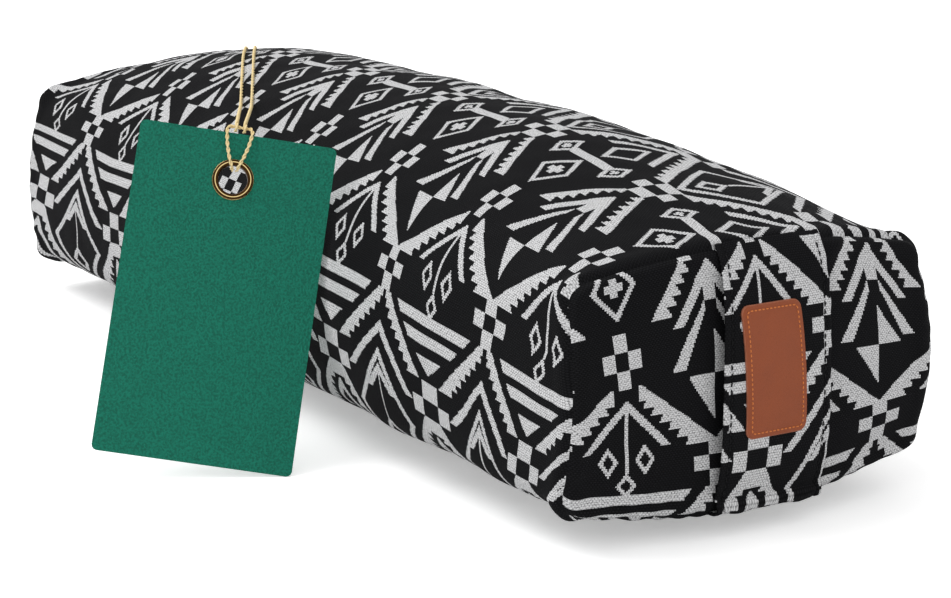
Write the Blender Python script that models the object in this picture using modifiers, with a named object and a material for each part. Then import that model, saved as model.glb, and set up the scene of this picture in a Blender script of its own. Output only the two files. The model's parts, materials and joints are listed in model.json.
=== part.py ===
"""Rectangular yoga bolster: a stuffed cover with end panels, a carry handle, a zip,
an inner cushion of husk and a hang tag. Metres, +Z up, the long side along X.

The origin is the middle of the footprint on the floor. The handle end is at +X,
the zip is on the +Y side and the hang tag leans against the -Y side.
"""

import math

import bmesh
import bpy
import numpy as np
from mathutils import Matrix, Vector

MM = 0.001

# Cover: corner to corner along its seams
BODY_LENGTH = 650 * MM
PANEL_WIDTH = 232 * MM
PANEL_HEIGHT = 115 * MM
CORNER_LIFT = 21 * MM

# How far the stuffed cloth swells past the straight lines between the corners
SIDE_SWELL = 12 * MM
TOP_SWELL_END = 15 * MM
TOP_SWELL_MIDDLE = 34 * MM
BASE_SAG_END = 12 * MM
BASE_SAG_MIDDLE = 9.5 * MM
SEAM_SWELL = 14.4 * MM
PANEL_SWELL = 17 * MM
SWELL_POWER = 3.4
EAR_POWER = 6
SECTION_POWER_MIDDLE = 6
SECTION_POWER_END = 14

# Cloth layers and the clearance between neighbours
CLOTH = 1.0 * MM
LINER_CLOTH = 0.8 * MM
GAP = 0.3 * MM
SEAM_ALLOWANCE = 10 * MM

# Mesh density of the soft forms
AROUND = 32
ALONG = 16
INNER_ALONG = 8
PANEL_RING_SHARES = (0.42, 0.74)

# Zip in the rear wall
REAR_SWELL = 4.8 * MM
ZIP_POCKET = 6 * MM
ZIP_DROP = 11.5 * MM
TOOTH_PITCH = 4.0 * MM
TEETH = 98
TOOTH_REACH = 0.9 * MM
BEAD_INNER = 1.6 * MM
BEAD_WIDTH = 1.2 * MM
TOOTH_THICKNESS = 2.4 * MM
TAPE_WIDTH = 8.0 * MM
TAPE_THICKNESS = 0.6 * MM
TAPE_OVERRUN = 9 * MM
STOP_LENGTH = 2.4 * MM

# Zip slider and its pull
SLIDER_LENGTH = 11 * MM
SLIDER_WALL = 0.9 * MM
SLIDER_CLEARANCE = 0.4 * MM
POST_LENGTH = 2.2 * MM
POST_WIDTH = 1.6 * MM
POST_INSET = 1.2 * MM
BRIDGE_WIDTH = 1.6 * MM
BRIDGE_BAR = 1.0 * MM
BRIDGE_OPENING = 3.2 * MM
BRIDGE_HEIGHT = 2.0 * MM
PULL_THICKNESS = 1.0 * MM
PULL_EYE_BAR = 1.2 * MM
PULL_EYE_LENGTH = 3.8 * MM
PULL_EYE_WIDTH = 2.6 * MM
PULL_WIDTH = 6.0 * MM
PULL_LENGTH = 24 * MM

# Carry handle on the near end panel
HANDLE_WIDTH = 68 * MM
HANDLE_CLOTH = 0.8 * MM
WEBBING_THICKNESS = 1.4 * MM
HANDLE_BOW = 5.6 * MM
HANDLE_END_DROP = 2.5 * MM
HANDLE_EDGE = 1.2 * MM
HANDLE_STEPS = 14

# Leather patch on the handle
PATCH_WIDTH = 38 * MM
PATCH_HEIGHT = 69 * MM
PATCH_RAISE = 1.5 * MM
PATCH_THICKNESS = 1.8 * MM
PATCH_CORNER = 4 * MM

# Hang tag, which stands on the floor and leans on the cover
TAG_WIDTH = 109 * MM
TAG_HEIGHT = 184 * MM
TAG_THICKNESS = 0.8 * MM
TAG_CORNER = 3 * MM
TAG_ALONG = 116.2 * MM
TAG_OUT = 214.2 * MM
TAG_YAW = math.radians(66.87)
TAG_LEAN = math.radians(22.22)
TAG_ROLL = math.radians(10.33)
EYELET_DROP = 26.1 * MM
EYELET_HOLE = 8.0 * MM
EYELET_WALL = 0.8 * MM
EYELET_FLANGE = 11.6 * MM
EYELET_LIP = 1.2 * MM
TWINE = 2.1 * MM
HITCH_HALF_WIDTH = 7 * MM
HITCH_BACK = 1 * MM
HITCH_POINTS = 60
STRAND_SPREAD = 2.4 * MM
STRAND_OPENING = 0.45
STRAND_ACROSS = 51 * MM
STRAND_FALL = 50 * MM
STRAND_EASE = 3 * MM
STRAND_POINTS = 64
STRAND_TURNS = (0, 30, 60, 90, 120, 150)
STRAND_DROP_SHARES = (1.0, 0.97, 0.92, 0.85, 0.77, 0.69, 0.60, 0.51)
KNOT_LENGTH = 9 * MM
KNOT_RADIUS = 4.2 * MM

LINER_INSET = 2 * (CLOTH + GAP)
MIDDLE_HEIGHT = CORNER_LIFT + PANEL_HEIGHT / 2
REAR_WALL = PANEL_WIDTH / 2 + REAR_SWELL
TURNED_IN = 1 - SEAM_ALLOWANCE / (BODY_LENGTH / 2)

# Zip, worked out from the sizes above
ZIP_Z = MIDDLE_HEIGHT - ZIP_DROP
TAPE_Y = REAR_WALL - CLOTH / 2
TAPE_INNER = BEAD_INNER + BEAD_WIDTH + GAP
TAPE_OUTER = TAPE_INNER + TAPE_WIDTH
CHAIN_LENGTH = TEETH * TOOTH_PITCH
CHAIN_START = -CHAIN_LENGTH / 2
CHAIN_END = CHAIN_LENGTH / 2
SLIDER_FRONT = CHAIN_END + POST_LENGTH + POST_INSET + GAP
SLIDER_INNER = TOOTH_THICKNESS / 2 + GAP
SLIDER_OUTER = SLIDER_INNER + SLIDER_WALL
SLIDER_HALF_WIDTH = BEAD_INNER + BEAD_WIDTH + SLIDER_CLEARANCE + SLIDER_WALL
STOP_FRONT = SLIDER_FRONT + GAP + STOP_LENGTH
PULL_X = SLIDER_FRONT - SLIDER_LENGTH / 2
PULL_Y = TAPE_Y + SLIDER_OUTER + BRIDGE_HEIGHT / 2

CARD_FRONT = TAG_THICKNESS / 2
TWINE_RADIUS = TWINE / 2
HITCH_OFFSET = CARD_FRONT + EYELET_LIP + 1.5 * GAP + TWINE_RADIUS
HITCH_TOP = TAG_HEIGHT + 1.5 * TWINE + 2 * GAP
ROUND_HITCH = TWINE + GAP
TWINE_REST = TWINE_RADIUS + GAP


def clear_scene():
    for obj in list(bpy.data.objects):
        bpy.data.objects.remove(obj)


def collection(name, hidden=False):
    made = bpy.data.collections.new(name)
    bpy.context.scene.collection.children.link(made)
    made.hide_render = hidden
    return made


clear_scene()
BOLSTER = collection("rectangular_yoga_bolster")
HELPERS = collection("helpers", hidden=True)


def material(name, colour, roughness, metallic=0.0):
    made = bpy.data.materials.new(name)
    made.use_nodes = True
    made.diffuse_color = (*colour, 1)
    shader = made.node_tree.nodes["Principled BSDF"]
    shader.inputs["Base Color"].default_value = (*colour, 1)
    shader.inputs["Roughness"].default_value = roughness
    shader.inputs["Metallic"].default_value = metallic
    return made


JACQUARD = (0.08, 0.08, 0.085)
TAPE_BLACK = (0.02, 0.02, 0.022)
LINEN = (0.72, 0.66, 0.54)
HUSK = (0.62, 0.47, 0.26)
COGNAC = (0.30, 0.08, 0.035)
TAG_GREEN = (0.015, 0.16, 0.10)
BRASS = (0.62, 0.43, 0.16)
TWINE_CREAM = (0.72, 0.57, 0.30)


def finish(obj, colour, roughness=0.8, metallic=0.0, smooth=False, helper=False):
    """Gives an object its material and its collection."""
    (HELPERS if helper else BOLSTER).objects.link(obj)
    if helper:
        obj.hide_render = True
        obj.display_type = "WIRE"
        return obj
    obj.data.materials.append(material(obj.name, colour, roughness, metallic))
    if smooth and obj.type == "MESH":
        obj.data.shade_smooth()
    return obj


def mesh_object(name, bm):
    if bm.calc_volume(signed=True) < 0:
        bmesh.ops.reverse_faces(bm, faces=bm.faces)
    mesh = bpy.data.meshes.new(name)
    bm.to_mesh(mesh)
    bm.free()
    return bpy.data.objects.new(name, mesh)


def loft(name, rings, shell=False):
    """A closed solid through rings of points. A shell's last ring joins its first.

    Each patch is split the same way along X, so that nested layers stay parallel.
    """
    bm = bmesh.new()
    made = [[bm.verts.new(point) for point in ring] for ring in rings]
    pairs = list(zip(made, made[1:]))
    if shell:
        pairs.append((made[-1], made[0]))
    count = len(made[0])
    for low, high in pairs:
        forward = low[0].co.x <= high[0].co.x
        for i in range(count):
            j = (i + 1) % count
            if forward:
                bm.faces.new((low[i], low[j], high[j]))
                bm.faces.new((low[i], high[j], high[i]))
            else:
                bm.faces.new((low[i], low[j], high[i]))
                bm.faces.new((low[j], high[j], high[i]))
    if not shell:
        bm.faces.new(made[0][::-1])
        bm.faces.new(made[-1])
    return mesh_object(name, bm)


def box(name, low, high):
    bm = bmesh.new()
    size = [b - a for a, b in zip(low, high)]
    centre = [(a + b) / 2 for a, b in zip(low, high)]
    place = Matrix.Translation(centre) @ Matrix.Diagonal((*size, 1))
    bmesh.ops.create_cube(bm, size=1, matrix=place)
    return mesh_object(name, bm)


def plate(name, outlines, thickness, edge=0.0):
    """A flat plate from closed outlines in its own XY plane, the first less the others."""
    curve = bpy.data.curves.new(name, "CURVE")
    curve.dimensions = "2D"
    curve.fill_mode = "BOTH"
    curve.extrude = thickness / 2 - edge
    curve.bevel_depth = edge
    curve.bevel_resolution = 0
    curve.offset = -edge
    for outline in outlines:
        spline = curve.splines.new("POLY")
        spline.points.add(len(outline) - 1)
        for point, (x, y) in zip(spline.points, outline):
            point.co = (x, y, 0, 1)
        spline.use_cyclic_u = True
    return bpy.data.objects.new(name, curve)


def as_mesh(obj):
    """The same object with its curve turned into a mesh with no doubled points."""
    bm = bmesh.new()
    mesh = bpy.data.meshes.new_from_object(obj)
    bm.from_mesh(mesh)
    bmesh.ops.remove_doubles(bm, verts=bm.verts, dist=MM / 1000)
    made = mesh_object(obj.name + "_mesh", bm)
    made.matrix_world = obj.matrix_world
    name = obj.name
    bpy.data.objects.remove(obj)
    made.name = name
    return made


def tube(name, points, radius):
    curve = bpy.data.curves.new(name, "CURVE")
    curve.dimensions = "3D"
    curve.bevel_depth = radius
    curve.bevel_resolution = 2
    curve.use_fill_caps = True
    spline = curve.splines.new("POLY")
    spline.points.add(len(points) - 1)
    for point, place in zip(spline.points, points):
        point.co = (*place, 1)
    return bpy.data.objects.new(name, curve)


def combine(obj, other, operation):
    modifier = obj.modifiers.new(operation.lower(), "BOOLEAN")
    modifier.operation = operation
    modifier.solver = "EXACT"
    modifier.object = other


def turned(name, profile, steps):
    """A ring turned about Z from a closed profile of (radius, height) points."""
    bm = bmesh.new()
    loop = [bm.verts.new((x, 0, z)) for x, z in profile]
    for a, b in zip(loop, loop[1:] + loop[:1]):
        bm.edges.new((a, b))
    obj = mesh_object(name, bm)
    screw = obj.modifiers.new("turn", "SCREW")
    screw.steps = screw.render_steps = steps
    screw.use_merge_vertices = True
    screw.merge_threshold = MM / 100
    return obj


def smooth_route(points, count):
    """Evenly counted points on a Catmull-Rom curve through the route's own points."""
    knots = np.array(points, float)
    knots = np.vstack([2 * knots[0] - knots[1], knots, 2 * knots[-1] - knots[-2]])
    at = np.linspace(0, len(points) - 1, count)
    i = np.minimum(at.astype(int), len(points) - 2)
    f = (at - i)[:, None]
    a, b, c, d = (knots[i + k] for k in range(4))
    bend = (2 * a - 5 * b + 4 * c - d) * f**2 + (3 * b - a - 3 * c + d) * f**3
    return (2 * b + (c - a) * f + bend) / 2


# The stuffed form


def section(turn, along):
    """Unit section: a rounded rectangle that gets squarer towards the end seams."""
    power = SECTION_POWER_MIDDLE + (SECTION_POWER_END - SECTION_POWER_MIDDLE) * abs(along) ** 5
    across, up = np.cos(turn), np.sin(turn)
    reach = (np.abs(across) ** power + np.abs(up) ** power) ** (-1 / power)
    return across * reach, up * reach


def form(along, across, up, inset, rear):
    """Points of the stuffed form, inset from its outside, with all places from -1 to 1."""
    swell = 1 - abs(along) ** SWELL_POWER
    y = across * (PANEL_WIDTH / 2 - inset + SIDE_SWELL * swell * (1 - up**2))
    top = (TOP_SWELL_END + TOP_SWELL_MIDDLE * swell) * (1 - across**2)
    base = (BASE_SAG_END + BASE_SAG_MIDDLE * swell) * (1 - across**4)
    z = MIDDLE_HEIGHT + up * (PANEL_HEIGHT / 2 - inset + np.where(up > 0, top, base))
    edge = SEAM_SWELL * (2 - across**2 - up**2)
    face = (PANEL_SWELL - 2 * SEAM_SWELL) * (1 - across**2) * (1 - up**2)
    x = along * (BODY_LENGTH / 2 - inset)
    x = x + np.sign(along) * abs(along) ** EAR_POWER * (edge + face)
    return np.stack([x + 0 * y, np.minimum(y, rear), np.maximum(z, inset)], axis=-1)


TURNS = np.arange(AROUND) * 2 * np.pi / AROUND


def ring(along, inset, rear, share=1.0):
    across, up = section(TURNS, along)
    return form(along, across * share, up * share, inset, rear)


def cover_ring(along, inset):
    return ring(along, inset, REAR_WALL - inset)


def inner_ring(along, inset, share=1.0):
    """A ring of the inner cushion, which leaves room behind the zip."""
    return ring(along, inset, REAR_WALL - ZIP_POCKET - inset + LINER_INSET, share)


def top_height(x, y):
    """Height of the cover's outside above a place on its upper face. The form bulges past
    its ends, so the place along it is corrected until it lies at x."""
    along = x / (BODY_LENGTH / 2)
    turns = np.linspace(np.pi, 0, 361)
    for _ in range(4):
        along = max(-1.0, min(along, 1.0))
        points = form(along, *section(turns, along), 0.0, REAR_WALL)
        along += (x - np.interp(y, points[:, 1], points[:, 0])) / (BODY_LENGTH / 2)
    return float(np.interp(y, points[:, 1], points[:, 2]))


def lengthwise(steps):
    """Places along the form, with one at the inner edge of each seam allowance."""
    return [-1.0, *np.linspace(-TURNED_IN, TURNED_IN, steps + 1), 1.0]


def sewn_tube(name, place_ring, outer, cloth, stations):
    rings = [place_ring(at, outer) for at in stations]
    rings += [place_ring(at, outer + cloth) for at in stations[::-1]]
    return loft(name, rings, shell=True)


def end_panel(name, end, place_ring, outer, cloth, hemmed=False):
    """A dished panel. A hemmed one has its seam allowance turned into the cushion."""
    shares = (*PANEL_RING_SHARES, 1.0)
    rings = [place_ring(end, outer, share) for share in shares]
    if hemmed:
        rings.append(place_ring(end * TURNED_IN, outer))
        rings.append(place_ring(end * TURNED_IN, outer + cloth))
    inside = [place_ring(end, outer + cloth, share) for share in shares[::-1]]
    return loft(name, rings + inside)


def panel_ring(along, inset, share=1.0):
    return ring(along, inset, REAR_WALL - inset, share)


def make_cover():
    wrap = sewn_tube("cover_wrap", cover_ring, 0.0, CLOTH, lengthwise(ALONG))
    slot = box(
        "zip_slot",
        (CHAIN_START - TAPE_OVERRUN - GAP, REAR_WALL - ZIP_POCKET, ZIP_Z - TAPE_OUTER - GAP),
        (STOP_FRONT + TAPE_OVERRUN + GAP, REAR_WALL + ZIP_POCKET, ZIP_Z + TAPE_OUTER + GAP),
    )
    finish(slot, JACQUARD, helper=True)
    combine(wrap, slot, "DIFFERENCE")
    finish(wrap, JACQUARD, 0.9, smooth=True)
    for name, end in (("end_panel_near", 1), ("end_panel_far", -1)):
        panel = end_panel(name, end, panel_ring, CLOTH + GAP, CLOTH, hemmed=True)
        finish(panel, JACQUARD, 0.9, smooth=True)


def make_inner_cushion():
    stations = lengthwise(INNER_ALONG)
    liner = sewn_tube("liner_wrap", inner_ring, LINER_INSET, LINER_CLOTH, stations)
    finish(liner, LINEN, 0.9, smooth=True)
    inside = LINER_INSET + LINER_CLOTH + GAP
    for name, end in (("liner_panel_near", 1), ("liner_panel_far", -1)):
        panel = end_panel(name, end, inner_ring, inside, LINER_CLOTH)
        finish(panel, LINEN, 0.9, smooth=True)
    inset = inside + LINER_CLOTH + GAP
    rings = [inner_ring(-1, inset, share) for share in PANEL_RING_SHARES]
    rings += [inner_ring(at, inset) for at in stations]
    rings += [inner_ring(1, inset, share) for share in PANEL_RING_SHARES[::-1]]
    finish(loft("husk_filling", rings), HUSK, 0.95, smooth=True)


# Zip


def zip_plate(name, outline, thickness, centre_y, edge=0.0):
    """A plate drawn in X and Z and set upright in the rear wall."""
    made = plate(name, [outline], thickness, edge)
    made.matrix_world = Matrix.Translation((0, centre_y, ZIP_Z)) @ Matrix.Rotation(
        math.pi / 2, 4, "X"
    )
    return made


def tooth_row(side):
    """Outline of one row: a bead along the tape with teeth that reach past the middle."""
    tooth = TOOTH_PITCH / 2 - GAP
    shift = (TOOTH_PITCH / 2 if side < 0 else 0.0) + GAP / 2
    points = [(CHAIN_END, side * BEAD_INNER), (CHAIN_END, side * (BEAD_INNER + BEAD_WIDTH))]
    points += [(CHAIN_START, side * (BEAD_INNER + BEAD_WIDTH)), (CHAIN_START, side * BEAD_INNER)]
    last = TEETH - 1 if side < 0 else TEETH
    for i in range(last):
        start = CHAIN_START + i * TOOTH_PITCH + shift
        points.append((start, side * BEAD_INNER))
        points.append((start, -side * TOOTH_REACH))
        points.append((start + tooth, -side * TOOTH_REACH))
        points.append((start + tooth, side * BEAD_INNER))
    return points


def make_zip():
    for name, side in (("upper", 1), ("lower", -1)):
        row = zip_plate(f"zip_teeth_{name}", tooth_row(side), TOOTH_THICKNESS, TAPE_Y)
        finish(row, TAPE_BLACK, 0.45)
        edges = sorted((side * TAPE_INNER, side * TAPE_OUTER))
        tape = box(
            f"zip_tape_{name}",
            (CHAIN_START - TAPE_OVERRUN, TAPE_Y - TAPE_THICKNESS / 2, ZIP_Z + edges[0]),
            (STOP_FRONT + TAPE_OVERRUN, TAPE_Y + TAPE_THICKNESS / 2, ZIP_Z + edges[1]),
        )
        finish(tape, TAPE_BLACK, 0.9)
        edges = sorted((side * BEAD_INNER, side * (BEAD_INNER + BEAD_WIDTH)))
        stop = box(
            f"zip_top_stop_{name}",
            (SLIDER_FRONT + GAP, TAPE_Y - TOOTH_THICKNESS / 2, ZIP_Z + edges[0]),
            (STOP_FRONT, TAPE_Y + TOOTH_THICKNESS / 2, ZIP_Z + edges[1]),
        )
        finish(stop, TAPE_BLACK, 0.45)
    bottom = box(
        "zip_bottom_stop",
        (CHAIN_START - GAP - STOP_LENGTH, TAPE_Y - TOOTH_THICKNESS / 2, ZIP_Z - BEAD_INNER - BEAD_WIDTH),
        (CHAIN_START - GAP, TAPE_Y + TOOTH_THICKNESS / 2, ZIP_Z + BEAD_INNER + BEAD_WIDTH),
    )
    finish(bottom, TAPE_BLACK, 0.45)


def slider_wing(name, side):
    """One wing with its two flanges, as a channel profile drawn out along the zip."""
    half, wall = SLIDER_HALF_WIDTH, SLIDER_WALL
    lip = TAPE_THICKNESS / 2 + GAP
    outline = [
        (-half, lip),
        (-half, SLIDER_OUTER),
        (half, SLIDER_OUTER),
        (half, lip),
        (half - wall, lip),
        (half - wall, SLIDER_INNER),
        (-half + wall, SLIDER_INNER),
        (-half + wall, lip),
    ]
    wing = plate(name, [[(y * side, z) for z, y in outline]], SLIDER_LENGTH)
    axes = Matrix(((0, 0, 1), (1, 0, 0), (0, 1, 0))).to_4x4()
    middle = Vector((SLIDER_FRONT - SLIDER_LENGTH / 2, TAPE_Y, ZIP_Z))
    wing.matrix_world = Matrix.Translation(middle) @ axes
    return wing


def make_slider():
    body = as_mesh(slider_wing("zip_slider_body", 1))
    inner = as_mesh(slider_wing("slider_inner_wing", -1))
    back = SLIDER_FRONT - POST_INSET
    post = box(
        "slider_post",
        (back - POST_LENGTH, TAPE_Y - SLIDER_OUTER + GAP, ZIP_Z - POST_WIDTH / 2),
        (back, TAPE_Y + SLIDER_OUTER - GAP, ZIP_Z + POST_WIDTH / 2),
    )
    foot = BRIDGE_OPENING / 2 + BRIDGE_BAR
    rise = BRIDGE_HEIGHT + BRIDGE_BAR
    corner = BRIDGE_BAR / 2
    arch = [
        (-foot, -SLIDER_WALL / 2),
        (-foot, rise - corner),
        (-foot + corner, rise),
        (foot - corner, rise),
        (foot, rise - corner),
        (foot, -SLIDER_WALL / 2),
        (foot - BRIDGE_BAR, -SLIDER_WALL / 2),
        (foot - BRIDGE_BAR, BRIDGE_HEIGHT),
        (BRIDGE_BAR - foot, BRIDGE_HEIGHT),
        (BRIDGE_BAR - foot, -SLIDER_WALL / 2),
    ]
    bridge = plate("slider_bridge", [arch], BRIDGE_WIDTH)
    bridge.matrix_world = Matrix.Translation((PULL_X, TAPE_Y + SLIDER_OUTER, ZIP_Z))
    bridge = as_mesh(bridge)
    for other in (inner, post, bridge):
        finish(other, TAPE_BLACK, helper=True)
        combine(body, other, "UNION")
    finish(body, TAPE_BLACK, 0.35, 0.6)

    bar, half = PULL_EYE_BAR / 2, PULL_WIDTH / 2
    nose = PULL_LENGTH - half
    turns = np.linspace(-np.pi / 2, np.pi / 2, 9)
    outline = [(-bar, -half)]
    outline += [(nose + half * math.cos(a), half * math.sin(a)) for a in turns]
    outline.append((-bar, half))
    eye = PULL_EYE_WIDTH / 2
    hole = [(bar, -eye), (bar, eye), (bar + PULL_EYE_LENGTH, eye), (bar + PULL_EYE_LENGTH, -eye)]
    pull = plate("zip_pull_tab", [outline, hole], PULL_THICKNESS)
    pull.matrix_world = Matrix.Translation((PULL_X, PULL_Y, ZIP_Z)) @ Matrix.Rotation(
        math.pi / 2, 4, "X"
    )
    finish(pull, TAPE_BLACK, 0.4, 0.6)


# Carry handle


def handle_path(lift):
    """Middle line of a layer of the handle, lifted off the near end panel."""
    half = PANEL_HEIGHT / 2 - CLOTH - GAP
    low = -(half + BASE_SAG_END - HANDLE_END_DROP) / (half + BASE_SAG_END)
    high = (half + TOP_SWELL_END - HANDLE_END_DROP) / (half + TOP_SWELL_END)
    up = np.linspace(low, high, HANDLE_STEPS + 1)
    panel = form(1.0, np.zeros_like(up), up, CLOTH + GAP, REAR_WALL)
    bow = HANDLE_BOW * (1 - np.linspace(-1, 1, HANDLE_STEPS + 1) ** 4)
    x = panel[:, 0] + GAP + bow + lift
    return np.stack([x, panel[:, 2]], axis=-1)


def handle_rings(middle, half_width, half_thickness):
    """Flat sections with eased edges, square to the handle's middle line."""
    ahead = np.gradient(middle, axis=0)
    ahead /= np.linalg.norm(ahead, axis=1)[:, None]
    out = np.stack([ahead[:, 1], -ahead[:, 0]], axis=-1)
    edge = min(HANDLE_EDGE, half_thickness)
    corners = [
        (half_width, 0.0),
        (half_width - edge, half_thickness),
        (0.0, half_thickness),
        (edge - half_width, half_thickness),
        (-half_width, 0.0),
        (edge - half_width, -half_thickness),
        (0.0, -half_thickness),
        (half_width - edge, -half_thickness),
    ]
    rings = []
    for (x, z), (nx, nz) in zip(middle, out):
        rings.append([(x + nx * t, y, z + nz * t) for y, t in corners])
    return rings


def make_handle():
    core = WEBBING_THICKNESS / 2
    inner, outer = core + GAP, core + GAP + HANDLE_CLOTH
    middle = handle_path(outer)
    half = HANDLE_WIDTH / 2
    sleeve = handle_rings(middle, half, outer)
    sleeve += handle_rings(middle, half - HANDLE_CLOTH, inner)[::-1]
    finish(loft("handle_band", sleeve, shell=True), JACQUARD, 0.9)
    webbing = handle_rings(middle, half - HANDLE_CLOTH - 2 * GAP, core)
    finish(loft("handle_webbing", webbing), TAPE_BLACK, 0.9)

    path_x, path_z = middle[:, 0], middle[:, 1]
    centre = (path_z[0] + path_z[-1]) / 2 + PATCH_RAISE
    straight = PATCH_HEIGHT / 2 - PATCH_CORNER
    rounding = np.linspace(0, math.pi / 2, 4)
    ends = [
        (straight + PATCH_CORNER * math.sin(a), PATCH_WIDTH / 2 - PATCH_CORNER * (1 - math.cos(a)))
        for a in rounding
    ]
    rows = [(centre - z, width) for z, width in ends[::-1]]
    rows += [(z, PATCH_WIDTH / 2) for z in path_z if abs(z - centre) < straight - GAP]
    rows += [(centre + z, width) for z, width in ends]
    back = outer + GAP
    front = back + PATCH_THICKNESS
    rings = []
    for z, width in rows:
        x = float(np.interp(z, path_z, path_x))
        rings.append([(x + back, -width, z), (x + front, -width, z), (x + front, width, z)])
        rings[-1].append((x + back, width, z))
    finish(loft("leather_patch", rings), COGNAC, 0.55)


# Hang tag


def tag_frame():
    """Axes of the card: across it, up it and out of its front. It leans on the cover and
    stands on its lower right corner, which is round."""
    level = Vector((math.cos(TAG_YAW), math.sin(TAG_YAW), 0))
    towards = Vector((-math.sin(TAG_YAW), math.cos(TAG_YAW), 0))
    steep = math.sin(TAG_LEAN) * towards + math.cos(TAG_LEAN) * Vector((0, 0, 1))
    across = math.cos(TAG_ROLL) * level - math.sin(TAG_ROLL) * steep
    up = math.sin(TAG_ROLL) * level + math.cos(TAG_ROLL) * steep
    front = across.cross(up)
    rounding = math.sin(TAG_ROLL) + math.cos(TAG_ROLL) - 1
    corner = TAG_WIDTH / 2 * math.sin(TAG_ROLL) - TAG_CORNER * rounding
    rise = CARD_FRONT * math.sin(TAG_LEAN) + corner * math.cos(TAG_LEAN)
    foot = Vector((TAG_ALONG, -TAG_OUT, rise))
    return Matrix.Translation(foot) @ Matrix((across, up, front)).transposed().to_4x4()


TAG = tag_frame()


def on_tag(across, up, out):
    return TAG @ Vector((across, up, out))


def circle(radius, steps, centre=0.0):
    turns = np.arange(steps) * 2 * np.pi / steps
    return [(radius * math.cos(a), centre + radius * math.sin(a)) for a in turns]


def make_tag():
    half, corner = TAG_WIDTH / 2, TAG_CORNER
    outline = []
    places = ((half, TAG_HEIGHT), (-half, TAG_HEIGHT), (-half, 0.0), (half, 0.0))
    for quarter, (x, y) in enumerate(places):
        middle_x = x - math.copysign(corner, x)
        middle_y = y - corner if y else corner
        for step in range(4):
            turn = (quarter + step / 3) * math.pi / 2
            outline.append((middle_x + corner * math.cos(turn), middle_y + corner * math.sin(turn)))
    eye = TAG_HEIGHT - EYELET_DROP
    barrel = EYELET_HOLE + EYELET_WALL
    card = plate("tag_card", [outline, circle(barrel + GAP, 32, eye)], TAG_THICKNESS)
    card.matrix_world = TAG
    finish(card, TAG_GREEN, 0.6)

    lip, reach, back = CARD_FRONT + GAP / 2, EYELET_FLANGE, CARD_FRONT + GAP + EYELET_LIP
    middle, half = (reach + EYELET_HOLE) / 2, (reach - EYELET_HOLE) / 2
    roll = np.linspace(math.pi, 0, 8)
    rolled = [(middle + half * math.cos(a), lip + EYELET_LIP * math.sin(a)) for a in roll]
    profile = [(EYELET_HOLE, -back), *rolled, (barrel, lip), (barrel, -back)]
    eyelet = turned("tag_eyelet", profile, 32)
    eyelet.matrix_world = TAG @ Matrix.Translation((0, eye, 0))
    finish(eyelet, BRASS, 0.25, 1.0, smooth=True)
    washer = turned(
        "tag_eyelet_washer",
        [
            (barrel + GAP, -lip - EYELET_LIP / 2),
            (barrel + GAP, -lip),
            (reach, -lip),
            (reach, -lip - EYELET_LIP / 2),
        ],
        32,
    )
    washer.matrix_world = TAG @ Matrix.Translation((0, eye, 0))
    finish(washer, BRASS, 0.3, 1.0, smooth=True)


def hitch_route():
    """The loop through the eyelet, up the front of the card and back over its top edge."""
    eye = TAG_HEIGHT - EYELET_DROP
    inside = EYELET_HOLE - TWINE_RADIUS - GAP
    half = HITCH_HALF_WIDTH
    right = [
        (inside * 0.20, eye + inside * 0.80, -CARD_FRONT),
        (inside * 0.26, eye + inside * 0.96, HITCH_OFFSET * 0.8),
        (inside * 0.36, eye + EYELET_HOLE + GAP, HITCH_OFFSET + 2 * GAP),
        (half * 0.56, eye + EYELET_FLANGE + GAP, HITCH_OFFSET),
        (half * 0.86, TAG_HEIGHT - EYELET_DROP / 4, HITCH_OFFSET * 0.85),
        (half, TAG_HEIGHT - GAP, HITCH_OFFSET * 0.75),
        (half, (TAG_HEIGHT + HITCH_TOP) / 2, HITCH_OFFSET * 0.55),
        (half * 0.88, HITCH_TOP, 0.0),
        (half * 0.62, HITCH_TOP, -HITCH_BACK),
        (half * 0.30, HITCH_TOP, -HITCH_BACK),
    ]
    left = [(-x, y, z) for x, y, z in right]
    return [on_tag(*point) for point in right + left[::-1]]


def far_panel_place(across, up, off):
    """A point just off the far end panel, with its place up the panel from -1 to 1."""
    share = across / (PANEL_WIDTH / 2 + off)
    return Vector(form(-1.0, np.array(share), np.array(up), -off, REAR_WALL + off))


def strand_route(side):
    """One strand of the loop: round the top of the hitch, over the crown of the cover to
    the far end, and down the far panel."""
    points = []
    for turn in STRAND_TURNS:
        turn = math.radians(turn)
        up, out = -ROUND_HITCH * math.cos(turn), ROUND_HITCH * math.sin(turn)
        points.append(on_tag(side * STRAND_SPREAD, HITCH_TOP + up, out - HITCH_BACK))
    start = on_tag(0, HITCH_TOP + ROUND_HITCH, -HITCH_BACK)
    reach = far_panel_place(STRAND_ACROSS, 1.0, TWINE_REST) - start
    beside = Vector((-reach.y, reach.x, 0)).normalized() * -side * STRAND_SPREAD
    for share in np.linspace(0, 1, STRAND_POINTS, endpoint=False)[1:]:
        place = start + reach * share + beside * (1 + STRAND_OPENING * math.sin(math.pi * share))
        rest = top_height(place.x, place.y) + TWINE_REST
        taut = start.z - STRAND_FALL * share
        height = (rest + taut + math.hypot(rest - taut, STRAND_EASE)) / 2
        points.append((place.x, place.y, height))
    for up in STRAND_DROP_SHARES:
        points.append(far_panel_place(STRAND_ACROSS + side * STRAND_SPREAD, up, TWINE_REST))
    return points


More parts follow.
